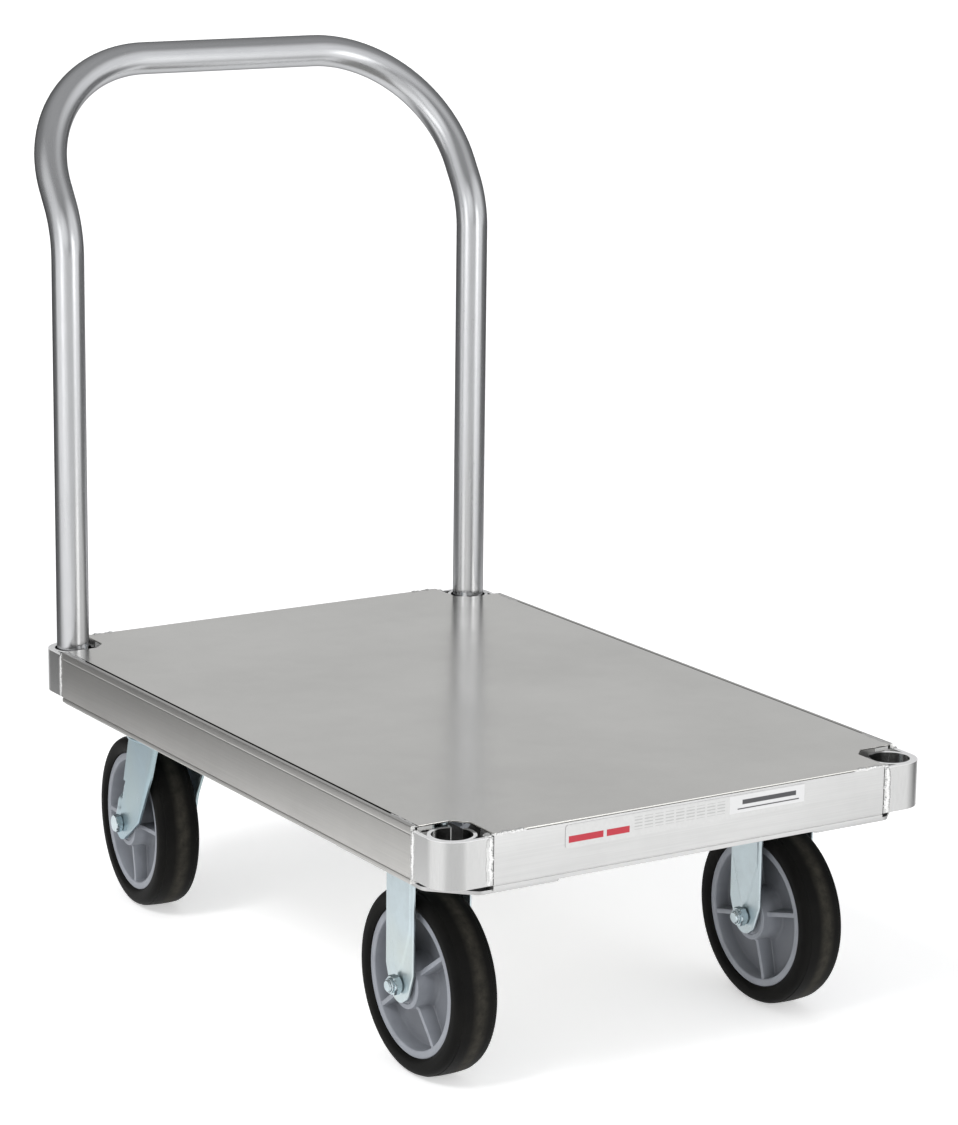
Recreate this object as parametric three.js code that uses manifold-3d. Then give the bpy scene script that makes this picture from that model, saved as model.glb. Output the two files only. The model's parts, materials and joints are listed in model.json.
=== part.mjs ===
// Flatbed platform truck: an aluminium deck frame on two rigid and two swivel casters, with a bent-tube
// push handle that lifts out of the two rear corner sockets. Millimetres, +Z up, floor at z = 0, width
// along X, length along Y, the labelled front end towards -Y and the handle at the +Y end.
import * as THREE from "three";
import { mergeVertices } from "three/addons/utils/BufferGeometryUtils.js";
import Module from "manifold-3d";

const wasm = await Module();
wasm.setup();

// ---- driving dimensions -------------------------------------------------------------------------------
const FIT = 0.3; // clearance between pieces that touch in the real truck

const DECK_WIDTH = 609.6;
const DECK_LENGTH = 914.4;
const DECK_TOP = 306.4;
const SHEET_THICK = 2;
const SHEET_END_SETBACK = 11; // the sheet stops short of the end rails' outer faces
const SHEET_CORNER_CHAMFER = 14;

const RAIL_BOTTOM = 246.1;
const RAIL_WEB = 4;
const RAIL_CHORD_DEPTH = 25.4; // inward reach of the hollow top chord
const RAIL_CHORD_HEIGHT = 7;
const RAIL_SLOT_WIDTH = 11; // hollow in the chord, open at both rail ends
const RAIL_SLOT_HEIGHT = 1.8;
const RAIL_FOOT_DEPTH = 20;
const RAIL_FOOT_THICK = 3.4;
const LIP_THICK = 5; // raised outer lip of the side rails
const LIP_GAP = 2; // open joint between the lip and the deck sheet

const SOCKET_REACH = 59.5; // each arm's length from the outer corner
const SOCKET_RADIUS = 29.5;
const SOCKET_BORE_RADIUS = 21.3;
const SOCKET_ARM_THICK = 5;
const SOCKET_SLIT = 13;
const SOCKET_BOTTOM = 252;
const SOCKET_TOP = 302.5;

const MOUNT_X = 145; // caster mounting plates, welded under the frame's corners
const MOUNT_Y = 225;
const MOUNT_THICK = 4.5;
const MOUNT_INSET = 7; // the plates stand back from the frame's outer faces
const MOUNT_CHAMFER = 32;

const CROSS_SIZE = 38.1; // square tube cross members under the sheet
const CROSS_WALL = 3;
const CROSS_Y = [-215, 0, 215];

const HANDLE_RADIUS = 19.05;
const HANDLE_WALL = 2.1;
const HANDLE_BEND_START = 766; // height where the legs start to lean back
const HANDLE_BEND_RADIUS = 110;
const HANDLE_LEAN = THREE.MathUtils.degToRad(33);
const HANDLE_LEAN_LENGTH = 183.7; // from the end of the bend to the top bar's centre line
const HANDLE_CORNER_RADIUS = 160;
const HANDLE_SIDES = 20;

const CASTER_X = 221;
const CASTER_Y = 296;
const CASTER_TOP = 241; // top face of each caster's own plate
const CASTER_PLATE_X = 101.6;
const CASTER_PLATE_Y = 114.3;
const CASTER_PLATE_THICK = 4.8;
const CASTER_LEAD = 54; // how far the rear wheels trail their swivel axis
const REAR_TURN = THREE.MathUtils.degToRad(-5.6); // rest angle of the rear casters

const WHEEL_RADIUS = 101.6;
const TYRE_HALF_WIDTH = 25.4;
const TYRE_INNER_RADIUS = 81.6;
const CORE_HALF_WIDTH = 22;
const CORE_RIM_INNER = 73.5;
const CORE_WEB_HALF = 5;
const CORE_RIB_COUNT = 4;
const CORE_RIB_THICK = 6;
const RIB_ANGLE = { front_left: 36, front_right: 14, rear_left: -3, rear_right: -30 }; // degrees, as rolled
const HUB_RADIUS = 28;
const HUB_HALF_LENGTH = 29.5;
const BEARING_OUTER = 15;
const BEARING_INNER = 10;
const SLEEVE_OUTER = 9.5;
const AXLE_RADIUS = 6.35;

const LEG_INNER = 32; // half the gap between a fork's legs
const LEG_THICK = 4.8;
const LEG_HALF_WIDTH = 27.5; // rigid fork leg, across the travel direction
const LEG_TAPER_START = 16; // above the axle
const LEG_TIP_RADIUS = 20;
const HEX_ACROSS = 19;
const HEAD_THICK = 8;
const NUT_THICK = 11;
const BOLT_PROUD = 2.5;

const CROWN_RADIUS = 46;
const CROWN_BOTTOM = 217;
const CROWN_TOP = 223.5;
const RACE_BOTTOM = 224;
const KINGPIN_RADIUS = 8;
const KINGPIN_HEAD_ACROSS = 24;
const KINGPIN_BOTTOM = 208.5;

const LABEL = { x0: -160, x1: 141, z0: 277, z1: 301.5, thick: 0.4 };

// ---- derived dimensions -------------------------------------------------------------------------------
const HALF_W = DECK_WIDTH / 2;
const HALF_L = DECK_LENGTH / 2;
const SEAT = DECK_TOP - SHEET_THICK - FIT;
const RAIL_START = SOCKET_REACH + FIT;
const MOUNT_TOP = RAIL_BOTTOM - FIT;
const AXLE_Z = WHEEL_RADIUS;
const CASTER_UNDER = CASTER_TOP - CASTER_PLATE_THICK;
const LEG_OUTER = LEG_INNER + LEG_THICK;
const HANDLE_X = HALF_W - SOCKET_RADIUS;
const HANDLE_Y = HALF_L - SOCKET_RADIUS;
const HANDLE_FOOT = MOUNT_TOP + FIT;
const HANDLE_REAR =
  HANDLE_Y +
  HANDLE_BEND_RADIUS * (1 - Math.cos(HANDLE_LEAN)) +
  HANDLE_LEAN_LENGTH * Math.sin(HANDLE_LEAN) +
  HANDLE_RADIUS;
// The origin lies under the middle of the whole truck, so the deck's centre is a little ahead of it.
const DECK_CENTRE_Y = (HALF_L - HANDLE_REAR) / 2;

// ---- finishes -----------------------------------------------------------------------------------------
const FINISH = {
  deck: { color: 0xb8b6b2, roughness: 0.42, metalness: 0.9 },
  rail: { color: 0xb2b2ae, roughness: 0.4, metalness: 0.9 },
  socket: { color: 0xc4c4c4, roughness: 0.36, metalness: 0.9 },
  handle: { color: 0xb9babb, roughness: 0.3, metalness: 0.95 },
  zinc: { color: 0xaec0c6, roughness: 0.35, metalness: 0.85 },
  bolt: { color: 0xc2ced4, roughness: 0.25, metalness: 0.95 },
  core: { color: 0x71747b, roughness: 0.6, metalness: 0.0 },
  tyre: { color: 0x1b1b18, roughness: 0.75, metalness: 0.0 },
  label: { color: 0xf2f2f0, roughness: 0.5, metalness: 0.0 },
};

// ---- helpers ------------------------------------------------------------------------------------------
const group = new THREE.Group();

function toSolid(geometry) {
  const bare = geometry.clone();
  bare.deleteAttribute("normal");
  bare.deleteAttribute("uv");
  const merged = mergeVertices(bare, 1e-4);
  return new wasm.Manifold(
    new wasm.Mesh({
      numProp: 3,
      vertProperties: new Float32Array(merged.attributes.position.array),
      triVerts: new Uint32Array(merged.index.array),
    }),
  );
}

function toGeometry(solid) {
  const mesh = solid.getMesh();
  const geometry = new THREE.BufferGeometry();
  geometry.setAttribute("position", new THREE.BufferAttribute(mesh.vertProperties, 3));
  geometry.setIndex(new THREE.BufferAttribute(mesh.triVerts, 1));
  geometry.computeVertexNormals();
  return geometry;
}

function join(...pieces) {
  return pieces.map(toSolid).reduce((sum, piece) => sum.add(piece));
}

function cut(solid, ...holes) {
  return holes.map(toSolid).reduce((rest, hole) => rest.subtract(hole), solid);
}

function addNode(name, finish, geometry) {
  const material = new THREE.MeshStandardMaterial(FINISH[finish]);
  const mesh = new THREE.Mesh(geometry, material);
  mesh.name = name;
  geometry.translate(0, DECK_CENTRE_Y, 0);
  group.add(mesh);
}

function box(x, y, z) {
  const geometry = new THREE.BoxGeometry(x[1] - x[0], y[1] - y[0], z[1] - z[0]);
  return geometry.translate((x[0] + x[1]) / 2, (y[0] + y[1]) / 2, (z[0] + z[1]) / 2);
}

function shapeOf(points) {
  const ordered = points.map(([u, v]) => new THREE.Vector2(u, v));
  if (THREE.ShapeUtils.area(ordered) < 0) ordered.reverse();
  return new THREE.Shape(ordered);
}

// A flat outline in the XY plane, raised from z0 to z1.
function slab(points, z0, z1) {
  const geometry = new THREE.ExtrudeGeometry(shapeOf(points), { depth: z1 - z0, bevelEnabled: false });
  return geometry.translate(0, 0, z0);
}

// A [y, z] outline extruded along X from x0 to x1.
function plateAcross(points, x0, x1) {
  const geometry = new THREE.ExtrudeGeometry(shapeOf(points), { depth: x1 - x0, bevelEnabled: false });
  geometry.rotateZ(Math.PI / 2);
  geometry.rotateY(Math.PI / 2);
  return geometry.translate(x0, 0, 0);
}

// A closed [radius, height] profile turned about Z, or about X when along is "x".
function turned(points, sides, along = "z") {
  const loop = points.map(([r, h]) => new THREE.Vector2(r, h));
  if (THREE.ShapeUtils.area(loop) < 0) loop.reverse();
  loop.push(loop[0].clone());
  const geometry = new THREE.LatheGeometry(loop, sides);
  return along === "x" ? geometry.rotateZ(-Math.PI / 2) : geometry.rotateX(Math.PI / 2);
}

function post(radius, z0, z1, sides) {
  const geometry = new THREE.CylinderGeometry(radius, radius, z1 - z0, sides);
  return geometry.rotateX(Math.PI / 2).translate(0, 0, (z0 + z1) / 2);
}

function rod(radius, x0, x1, sides) {
  const geometry = new THREE.CylinderGeometry(radius, radius, x1 - x0, sides);
  return geometry.rotateZ(-Math.PI / 2).translate((x0 + x1) / 2, 0, 0);
}

function arc(cu, cv, radius, from, to, steps) {
  return Array.from({ length: steps + 1 }, (_, i) => {
    const a = from + ((to - from) * i) / steps;
    return [cu + radius * Math.cos(a), cv + radius * Math.sin(a)];
  });
}

// ---- deck sheet ---------------------------------------------------------------------------------------
function deckSheet() {
  const x = HALF_W - LIP_THICK - LIP_GAP;
  const y = HALF_L - SHEET_END_SETBACK;
  const nx = HALF_W - SOCKET_REACH - FIT;
  const ny = HALF_L - SOCKET_REACH - FIT;
  const c = SHEET_CORNER_CHAMFER;
  const quarter = [
    [x, ny],
    [nx + c, ny],
    [nx, ny + c],
    [nx, y],
  ];
  const outline = [
    ...quarter,
    ...quarter.map(([u, v]) => [-u, v]).reverse(),
    ...quarter.map(([u, v]) => [-u, -v]),
    ...quarter.map(([u, v]) => [u, -v]).reverse(),
  ];
  return slab(outline, DECK_TOP - SHEET_THICK, DECK_TOP);
}
addNode("deck_sheet", "deck", deckSheet());

// ---- rails: one extrusion profile; u runs inwards from the outer face, w is the height ----------------
function railProfile(withLip) {
  const chordUnder = DECK_TOP - RAIL_CHORD_HEIGHT;
  const head = withLip
    ? [
        [0, DECK_TOP],
        [LIP_THICK, DECK_TOP],
        [LIP_THICK, SEAT],
      ]
    : [[0, SEAT]];
  return [
    ...head,
    [RAIL_CHORD_DEPTH, SEAT],
    [RAIL_CHORD_DEPTH, chordUnder],
    [RAIL_WEB, chordUnder],
    [RAIL_WEB, RAIL_BOTTOM + RAIL_FOOT_THICK],
    [RAIL_FOOT_DEPTH, RAIL_BOTTOM + RAIL_FOOT_THICK],
    [RAIL_FOOT_DEPTH, RAIL_BOTTOM],
    [0, RAIL_BOTTOM],
  ];
}

// A rail of the given half length whose outer face looks towards -Y, centred on x = 0.
function rail(halfLength, withLip) {
  const shape = shapeOf(railProfile(withLip));
  const u0 = (RAIL_CHORD_DEPTH - RAIL_SLOT_WIDTH) / 2;
  const w0 = (SEAT + DECK_TOP - RAIL_CHORD_HEIGHT - RAIL_SLOT_HEIGHT) / 2;
  const slot = [
    [u0, w0],
    [u0, w0 + RAIL_SLOT_HEIGHT],
    [u0 + RAIL_SLOT_WIDTH, w0 + RAIL_SLOT_HEIGHT],
    [u0 + RAIL_SLOT_WIDTH, w0],
  ];
  shape.holes.push(new THREE.Path(slot.map(([u, w]) => new THREE.Vector2(u, w))));
  const geometry = new THREE.ExtrudeGeometry(shape, { depth: 2 * halfLength, bevelEnabled: false });
  geometry.rotateZ(Math.PI / 2);
  geometry.rotateY(Math.PI / 2);
  return geometry.translate(-halfLength, 0, 0);
}

const SIDE_HALF = HALF_L - RAIL_START;
const END_HALF = HALF_W - RAIL_START;
addNode("rail_front", "rail", rail(END_HALF, false).translate(0, -HALF_L, 0));
addNode("rail_rear", "rail", rail(END_HALF, false).rotateZ(Math.PI).translate(0, HALF_L, 0));
addNode("rail_left", "rail", rail(SIDE_HALF, true).rotateZ(-Math.PI / 2).translate(-HALF_W, 0, 0));
addNode("rail_right", "rail", rail(SIDE_HALF, true).rotateZ(Math.PI / 2).translate(HALF_W, 0, 0));

// ---- corner sockets and caster mounting plates, built for the front left corner and turned round ------
function cornerSocket() {
  const r = SOCKET_RADIUS;
  const t = SOCKET_ARM_THICK;
  const z = [SOCKET_BOTTOM, SOCKET_TOP];
  const outer = [
    [SOCKET_REACH, 0],
    ...arc(r, r, r, -Math.PI / 2, -Math.PI, 8),
    [0, SOCKET_REACH],
    [t, SOCKET_REACH],
    [t, r + r * 0.6],
    [r + r * 0.6, t],
    [SOCKET_REACH, t],
  ];
  const ring = post(r, z[0], z[1], 32).translate(r, r, 0);
  const bore = post(SOCKET_BORE_RADIUS, z[0] - 1, z[1] + 1, 32).translate(r, r, 0);
  const slit = box([0, 2 * r], [-SOCKET_SLIT / 2, SOCKET_SLIT / 2], [z[0] - 1, z[1] + 1]);
  slit.rotateZ(Math.PI / 4).translate(r, r, 0);
  return cut(join(slab(outer, z[0], z[1]), ring), bore, slit);
}

function mountPlate() {
  const e = MOUNT_INSET;
  const c = e + MOUNT_CHAMFER;
  const outline = [
    [c, e],
    [MOUNT_X, e],
    [MOUNT_X, MOUNT_Y],
    [e, MOUNT_Y],
    [e, c],
  ];
  return slab(outline, MOUNT_TOP - MOUNT_THICK, MOUNT_TOP);
}

// Mirrors a front left piece to another corner and keeps its faces outward.
function toCorner(geometry, sx, sy) {
  const placed = mergeVertices(geometry.clone().translate(-HALF_W, -HALF_L, 0).scale(-sx, -sy, 1));
  if (sx * sy < 0) placed.setIndex(Array.from(placed.index.array).reverse());
  return placed;
}

const CORNERS = {
  front_left: [-1, -1],
  front_right: [1, -1],
  rear_left: [-1, 1],
  rear_right: [1, 1],
};
const socketGeometry = toGeometry(cornerSocket());
const mountGeometry = mergeVertices(mountPlate().deleteAttribute("uv").deleteAttribute("normal"));
for (const [corner, [sx, sy]] of Object.entries(CORNERS)) {
  addNode(`corner_socket_${corner}`, "socket", toCorner(socketGeometry, sx, sy));
  addNode(`caster_mount_${corner}`, "rail", toCorner(mountGeometry, sx, sy));
}

// ---- cross members ------------------------------------------------------------------------------------
const crossHalf = HALF_W - RAIL_CHORD_DEPTH - FIT;
["front", "middle", "rear"].forEach((place, i) => {
  const s = CROSS_SIZE / 2;
  const inner = s - CROSS_WALL;
  const mid = SEAT - s;
  const tube = join(box([-crossHalf, crossHalf], [-s, s], [mid - s, mid + s]));
  const hollow = box([-crossHalf - 1, crossHalf + 1], [-inner, inner], [mid - inner, mid + inner]);
  addNode(`cross_member_${place}`, "rail", toGeometry(cut(tube, hollow)).translate(0, CROSS_Y[i], 0));
});

// ---- handle: one tube up from the left socket, leaning back, across and down into the right socket ----
function handleStations() {
  const bend = arc(HANDLE_BEND_RADIUS, 0, HANDLE_BEND_RADIUS, Math.PI, Math.PI - HANDLE_LEAN, 4);
  const up = new THREE.Vector3(0, Math.sin(HANDLE_LEAN), Math.cos(HANDLE_LEAN));
  const left = [new THREE.Vector3(-HANDLE_X, HANDLE_Y, HANDLE_FOOT)];
  for (const [y, z] of bend) {
    left.push(new THREE.Vector3(-HANDLE_X, HANDLE_Y + y, HANDLE_BEND_START + z));
  }
  const bendEnd = left[left.length - 1];
  const r = HANDLE_CORNER_RADIUS;
  for (const [x, s] of arc(r, HANDLE_LEAN_LENGTH - r, r, Math.PI, Math.PI / 2, 8)) {
    const station = bendEnd.clone().addScaledVector(up, s);
    station.x += x;
    left.push(station);
  }
  const right = left.map((p) => new THREE.Vector3(-p.x, p.y, p.z)).reverse();
  return [...left, ...right];
}

// A path whose extrusion steps fall exactly on the given stations.
class StationPath extends THREE.Curve {
  constructor(stations) {
    super();
    this.stations = stations;
  }

  getPoint(t) {
    const place = t * (this.stations.length - 1);
    const i = Math.min(Math.floor(place + 1e-6), this.stations.length - 2);
    return this.stations[i].clone().lerp(this.stations[i + 1], place - i);
  }

  getPointAt(u) {
    return this.getPoint(u);
  }

  getTangentAt(u) {
    const last = this.stations.length - 1;
    const i = Math.round(u * last);
    const along = (a, b) => this.stations[b].clone().sub(this.stations[a]).normalize();
    if (i === 0) return along(0, 1);
    if (i === last) return along(last - 1, last);
    return along(i - 1, i).add(along(i, i + 1)).normalize();
  }
}

function handleTube() {
  const stations = handleStations();
  const section = new THREE.Shape(arc2(HANDLE_RADIUS, HANDLE_SIDES));
  section.holes.push(new THREE.Path(arc2(HANDLE_RADIUS - HANDLE_WALL, HANDLE_SIDES)));
  return new THREE.ExtrudeGeometry(section, {
    steps: stations.length - 1,
    extrudePath: new StationPath(stations),
  });
}

function arc2(radius, sides) {
  return arc(0, 0, radius, 0, 2 * Math.PI, sides)
    .slice(0, sides)
    .map(([x, y]) => new THREE.Vector2(x, y));
}
addNode("handle_tube", "handle", handleTube());

// ---- label on the front rail --------------------------------------------------------------------------
const labelY = -HALF_L - 0.1;
const labelSpan = [labelY - LABEL.thick, labelY];
addNode("front_label", "label", box([LABEL.x0, LABEL.x1], labelSpan, [LABEL.z0, LABEL.z1]));

// ---- wheel pieces, turned about X around their own centre ---------------------------------------------
const RIM_SIDES = 36;
const HUB_SIDES = 16;

function tyre() {
  const w = TYRE_HALF_WIDTH;
  const r = WHEEL_RADIUS;
  const half = [
    [TYRE_INNER_RADIUS, w - 3],
    [r - 15, w],
    [r - 7, w - 1.5],
    [r - 3, w - 7],
    [r, 9],
  ];
  return turned([...half, ...half.map(([a, h]) => [a, -h]).reverse()], RIM_SIDES, "x");
}

// Four ribs join hub and rim; angle is how far the wheel has rolled, in degrees.
function wheelCore(angle) {
  const rim = TYRE_INNER_RADIUS - FIT;
  const half = [
    [BEARING_OUTER + FIT, HUB_HALF_LENGTH],
    [HUB_RADIUS, HUB_HALF_LENGTH],
    [HUB_RADIUS + 2, CORE_WEB_HALF],
    [CORE_RIM_INNER - 2, CORE_WEB_HALF],
    [CORE_RIM_INNER, CORE_HALF_WIDTH],
    [rim, CORE_HALF_WIDTH],
  ];
  const body = turned([...half, ...half.map(([a, h]) => [a, -h]).reverse()], RIM_SIDES, "x");
  const ribs = [];
  for (let i = 0; i < CORE_RIB_COUNT; i += 1) {
    const y = CORE_RIB_THICK / 2;
    const x = CORE_HALF_WIDTH - 1.5;
    const rib = box([-x, x], [-y, y], [HUB_RADIUS - 3, CORE_RIM_INNER + 2]);
    ribs.push(rib.rotateX(THREE.MathUtils.degToRad(angle) + (i * 2 * Math.PI) / CORE_RIB_COUNT));
  }
  return toGeometry(join(body, ...ribs));
}

function ring(outer, inner, half, sides) {
  const profile = [
    [inner, -half],
    [outer, -half],
    [outer, half],
    [inner, half],
  ];
  return turned(profile, sides, "x");
}

// The hex head stands on the -X side; the threaded end comes through the nut on the +X side.
function axleBolt() {
  const head = rod(HEX_ACROSS / Math.sqrt(3), -LEG_OUTER - FIT - HEAD_THICK, -LEG_OUTER - FIT, 6);
  const shank = rod(AXLE_RADIUS, -LEG_OUTER - FIT - 1, LEG_OUTER + FIT + NUT_THICK + BOLT_PROUD, HUB_SIDES);
  return toGeometry(join(head, shank));
}

function axleNut() {
  const x0 = LEG_OUTER + FIT;
  const hex = rod(HEX_ACROSS / Math.sqrt(3), x0, x0 + NUT_THICK, 6);
  const bore = rod(AXLE_RADIUS + FIT, x0 - 1, x0 + NUT_THICK + 1, HUB_SIDES);
  return toGeometry(cut(toSolid(hex), bore));
}

const WHEEL_PIECES = {
  tyre: ["tyre", tyre],
  wheel_core: ["core", (corner) => wheelCore(RIB_ANGLE[corner])],
  roller_bearing: ["bolt", () => ring(BEARING_OUTER, BEARING_INNER, HUB_HALF_LENGTH - 1, HUB_SIDES)],
  axle_sleeve: ["zinc", () => ring(SLEEVE_OUTER, AXLE_RADIUS + FIT, LEG_INNER - FIT, HUB_SIDES)],
  axle_bolt: ["bolt", axleBolt],
  axle_nut: ["bolt", axleNut],
};

// ---- rigid fork: a top plate with two straight legs, centred on the plate ------------------------------
function legHoles(y) {
  const reach = LEG_OUTER + 5;
  return rod(AXLE_RADIUS + 0.55, -reach, reach, HUB_SIDES).translate(0, y, AXLE_Z);
}

function rigidFork() {
  const w = LEG_HALF_WIDTH;
  const taper = Math.asin(LEG_TAPER_START / Math.hypot(w, LEG_TAPER_START)) - 0.1;
  const outline = [
    [w, CASTER_TOP],
    [w, AXLE_Z + LEG_TAPER_START],
    ...arc(0, AXLE_Z, LEG_TIP_RADIUS, -taper, -Math.PI + taper, 8),
    [-w, AXLE_Z + LEG_TAPER_START],
    [-w, CASTER_TOP],
  ];
  const x = CASTER_PLATE_X / 2;
  const y = CASTER_PLATE_Y / 2;
  const gusset = 7;
  const pieces = [box([-x, x], [-y, y], [CASTER_UNDER, CASTER_TOP])];
  for (const side of [-1, 1]) {
    const span = [side * LEG_INNER, side * LEG_OUTER].sort((a, b) => a - b);
    pieces.push(plateAcross(outline, span[0], span[1]));
    const out = [
      [side * LEG_OUTER, CASTER_UNDER + 1],
      [side * (LEG_OUTER + gusset), CASTER_UNDER + 1],
      [side * LEG_OUTER, CASTER_UNDER - gusset],
    ];
    const fillet = new THREE.ExtrudeGeometry(shapeOf(out), { depth: 2 * w, bevelEnabled: false });
    pieces.push(fillet.rotateX(Math.PI / 2).translate(0, w, 0));
  }
  return toGeometry(cut(join(...pieces), legHoles(0)));
}

// ---- swivel head and yoke, centred on the swivel axis -------------------------------------------------
function swivelPlate() {
  const x = CASTER_PLATE_X / 2;
  const y = CASTER_PLATE_Y / 2;
  const plate = box([-x, x], [-y, y], [CASTER_UNDER, CASTER_TOP]);
  return toGeometry(cut(toSolid(plate), post(KINGPIN_RADIUS + FIT, CASTER_UNDER - 1, CASTER_TOP + 1, 24)));
}

function ballRace() {
  const profile = [
    [KINGPIN_RADIUS + FIT, RACE_BOTTOM],
    [CROWN_RADIUS - 4, RACE_BOTTOM],
    [CROWN_RADIUS + 1, RACE_BOTTOM + 4],
    [CROWN_RADIUS + 1, CASTER_UNDER - FIT],
    [KINGPIN_RADIUS + FIT, CASTER_UNDER - FIT],
  ];
  return turned(profile, 32);
}

function kingpin() {
  const head = post(KINGPIN_HEAD_ACROSS / Math.sqrt(3), KINGPIN_BOTTOM, CROWN_BOTTOM - 0.5, 6);
  const shank = post(KINGPIN_RADIUS, KINGPIN_BOTTOM + 1, CASTER_TOP, 24);
  return toGeometry(join(head, shank));
}

function yoke() {
  const lead = CASTER_LEAD;
  const outline = [
    [-58, CROWN_TOP],
    [-38, 180],
    [-18, 148],
    [-3, 117],
    ...arc(lead, AXLE_Z, LEG_TIP_RADIUS, -2.35, 0.05, 8),
    [lead + 13, AXLE_Z + 26],
    [46, 155],
    [38, 180],
    [24, CROWN_TOP],
  ];
  const pieces = [
    post(CROWN_RADIUS, CROWN_BOTTOM, CROWN_TOP, 32),
    box([-LEG_OUTER, LEG_OUTER], [-55, 24], [CROWN_BOTTOM, CROWN_TOP]),
    plateAcross(outline, -LEG_OUTER, -LEG_INNER),
    plateAcross(outline, LEG_INNER, LEG_OUTER),
  ];
  const pinHole = post(KINGPIN_RADIUS + 0.5, CROWN_BOTTOM - 1, CROWN_TOP + 1, 24);
  return toGeometry(cut(join(...pieces), pinHole, legHoles(lead)));
}

// ---- the four casters ---------------------------------------------------------------------------------
const SWIVEL_PIECES = {
  top_plate: ["zinc", swivelPlate],
  ball_race: ["zinc", ballRace],
  kingpin: ["bolt", kingpin],
  yoke: ["zinc", yoke],
};

for (const [corner, [sx, sy]] of Object.entries(CORNERS)) {
  const rear = sy > 0;
  const placeHead = (g) => g.rotateZ(rear ? REAR_TURN : 0).translate(sx * CASTER_X, sy * CASTER_Y, 0);
  for (const [piece, [finish, make]] of Object.entries(WHEEL_PIECES)) {
    // The front axle bolts go in from the right, the rear ones from the left.
    const geometry = make(corner).rotateZ(rear ? 0 : Math.PI);
    geometry.translate(0, rear ? CASTER_LEAD : 0, AXLE_Z);
    addNode(`${corner}_${piece}`, finish, placeHead(geometry));
  }
  if (rear) {
    for (const [piece, [finish, make]] of Object.entries(SWIVEL_PIECES)) {
      const fixed = piece !== "yoke";
      const geometry = make();
      const placed = fixed ? geometry.translate(sx * CASTER_X, sy * CASTER_Y, 0) : placeHead(geometry);
      addNode(`${corner}_${piece}`, finish, placed);
    }
  } else {
    addNode(`${corner}_fork`, "zinc", placeHead(rigidFork()));
  }
}

export default group;
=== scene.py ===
"""Visible pieces, finishes and studio of an aluminium flatbed platform truck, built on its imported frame."""
import json
import math

import bmesh
import bpy
import numpy as np
from bpy.props import FloatProperty, FloatVectorProperty, IntProperty, PointerProperty
from mathutils import Matrix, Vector
from mathutils.geometry import tessellate_polygon


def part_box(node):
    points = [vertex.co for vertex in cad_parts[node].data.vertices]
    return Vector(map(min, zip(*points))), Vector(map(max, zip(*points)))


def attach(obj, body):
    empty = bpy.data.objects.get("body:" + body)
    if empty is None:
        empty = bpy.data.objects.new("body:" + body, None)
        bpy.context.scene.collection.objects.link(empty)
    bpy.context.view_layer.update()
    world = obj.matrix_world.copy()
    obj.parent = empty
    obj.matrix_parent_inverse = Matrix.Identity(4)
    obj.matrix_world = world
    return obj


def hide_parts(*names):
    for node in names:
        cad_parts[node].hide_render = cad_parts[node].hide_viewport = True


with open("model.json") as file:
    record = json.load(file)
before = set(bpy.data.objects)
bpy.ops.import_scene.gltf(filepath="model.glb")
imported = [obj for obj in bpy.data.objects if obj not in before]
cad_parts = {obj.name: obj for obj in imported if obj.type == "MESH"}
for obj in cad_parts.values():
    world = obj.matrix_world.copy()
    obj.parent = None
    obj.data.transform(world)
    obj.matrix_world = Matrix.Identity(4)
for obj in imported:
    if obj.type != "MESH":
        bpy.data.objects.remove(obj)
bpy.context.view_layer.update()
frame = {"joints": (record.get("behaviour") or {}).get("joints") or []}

bl_info = {
    "name": "Flatbed Platform Truck",
    "version": (1, 0, 0),
    "blender": (4, 5, 0),
    "location": "3D View > Sidebar > Truck",
    "description": "Builds the visible pieces, finishes and studio of a flatbed platform truck",
    "category": "Add Mesh",
}

MM = 0.001
JOINTS = {joint["name"]: joint for joint in frame["joints"]}
CORNERS = {"front_left": (-1, -1), "front_right": (1, -1), "rear_left": (-1, 1), "rear_right": (1, 1)}


def node_box(name):
    """Lowest and highest corner of a frame node, in millimetres."""
    low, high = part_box(name)
    return np.array(low) / MM, np.array(high) / MM


# ---- sizes read from the frame, in millimetres ----------------------------------------------------------
SHEET_LOW, SHEET_HIGH = node_box("deck_sheet")
DECK_Y = (SHEET_LOW[1] + SHEET_HIGH[1]) / 2
DECK_TOP = SHEET_HIGH[2]
SEAT = node_box("rail_front")[1][2]
RAIL_LOW, RAIL_HIGH = node_box("rail_left")
HALF_W = -RAIL_LOW[0]
HALF_L = DECK_Y - node_box("rail_front")[0][1]
RAIL_BOTTOM = RAIL_LOW[2]
SOCKET_LOW, SOCKET_HIGH = node_box("corner_socket_front_left")
SOCKET_REACH = SOCKET_HIGH[0] - SOCKET_LOW[0]
RAIL_START = DECK_Y + HALF_L - RAIL_HIGH[1]
MOUNT_LOW, MOUNT_HIGH = node_box("caster_mount_front_left")
FRONT_LEFT = np.array([-HALF_W, DECK_Y - HALF_L, 0])
MOUNT_INSET = (MOUNT_LOW - FRONT_LEFT)[0]
MOUNT_SPAN = MOUNT_HIGH - FRONT_LEFT
CASTER_TOP = node_box("front_left_fork")[1][2]
CASTER_UNDER = node_box("rear_left_top_plate")[0][2]
WHEEL_RADIUS = node_box("front_left_tyre")[1][2] / 2
AXLE_Z = WHEEL_RADIUS
TUBE_LOW, TUBE_HIGH = node_box("handle_tube")

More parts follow.
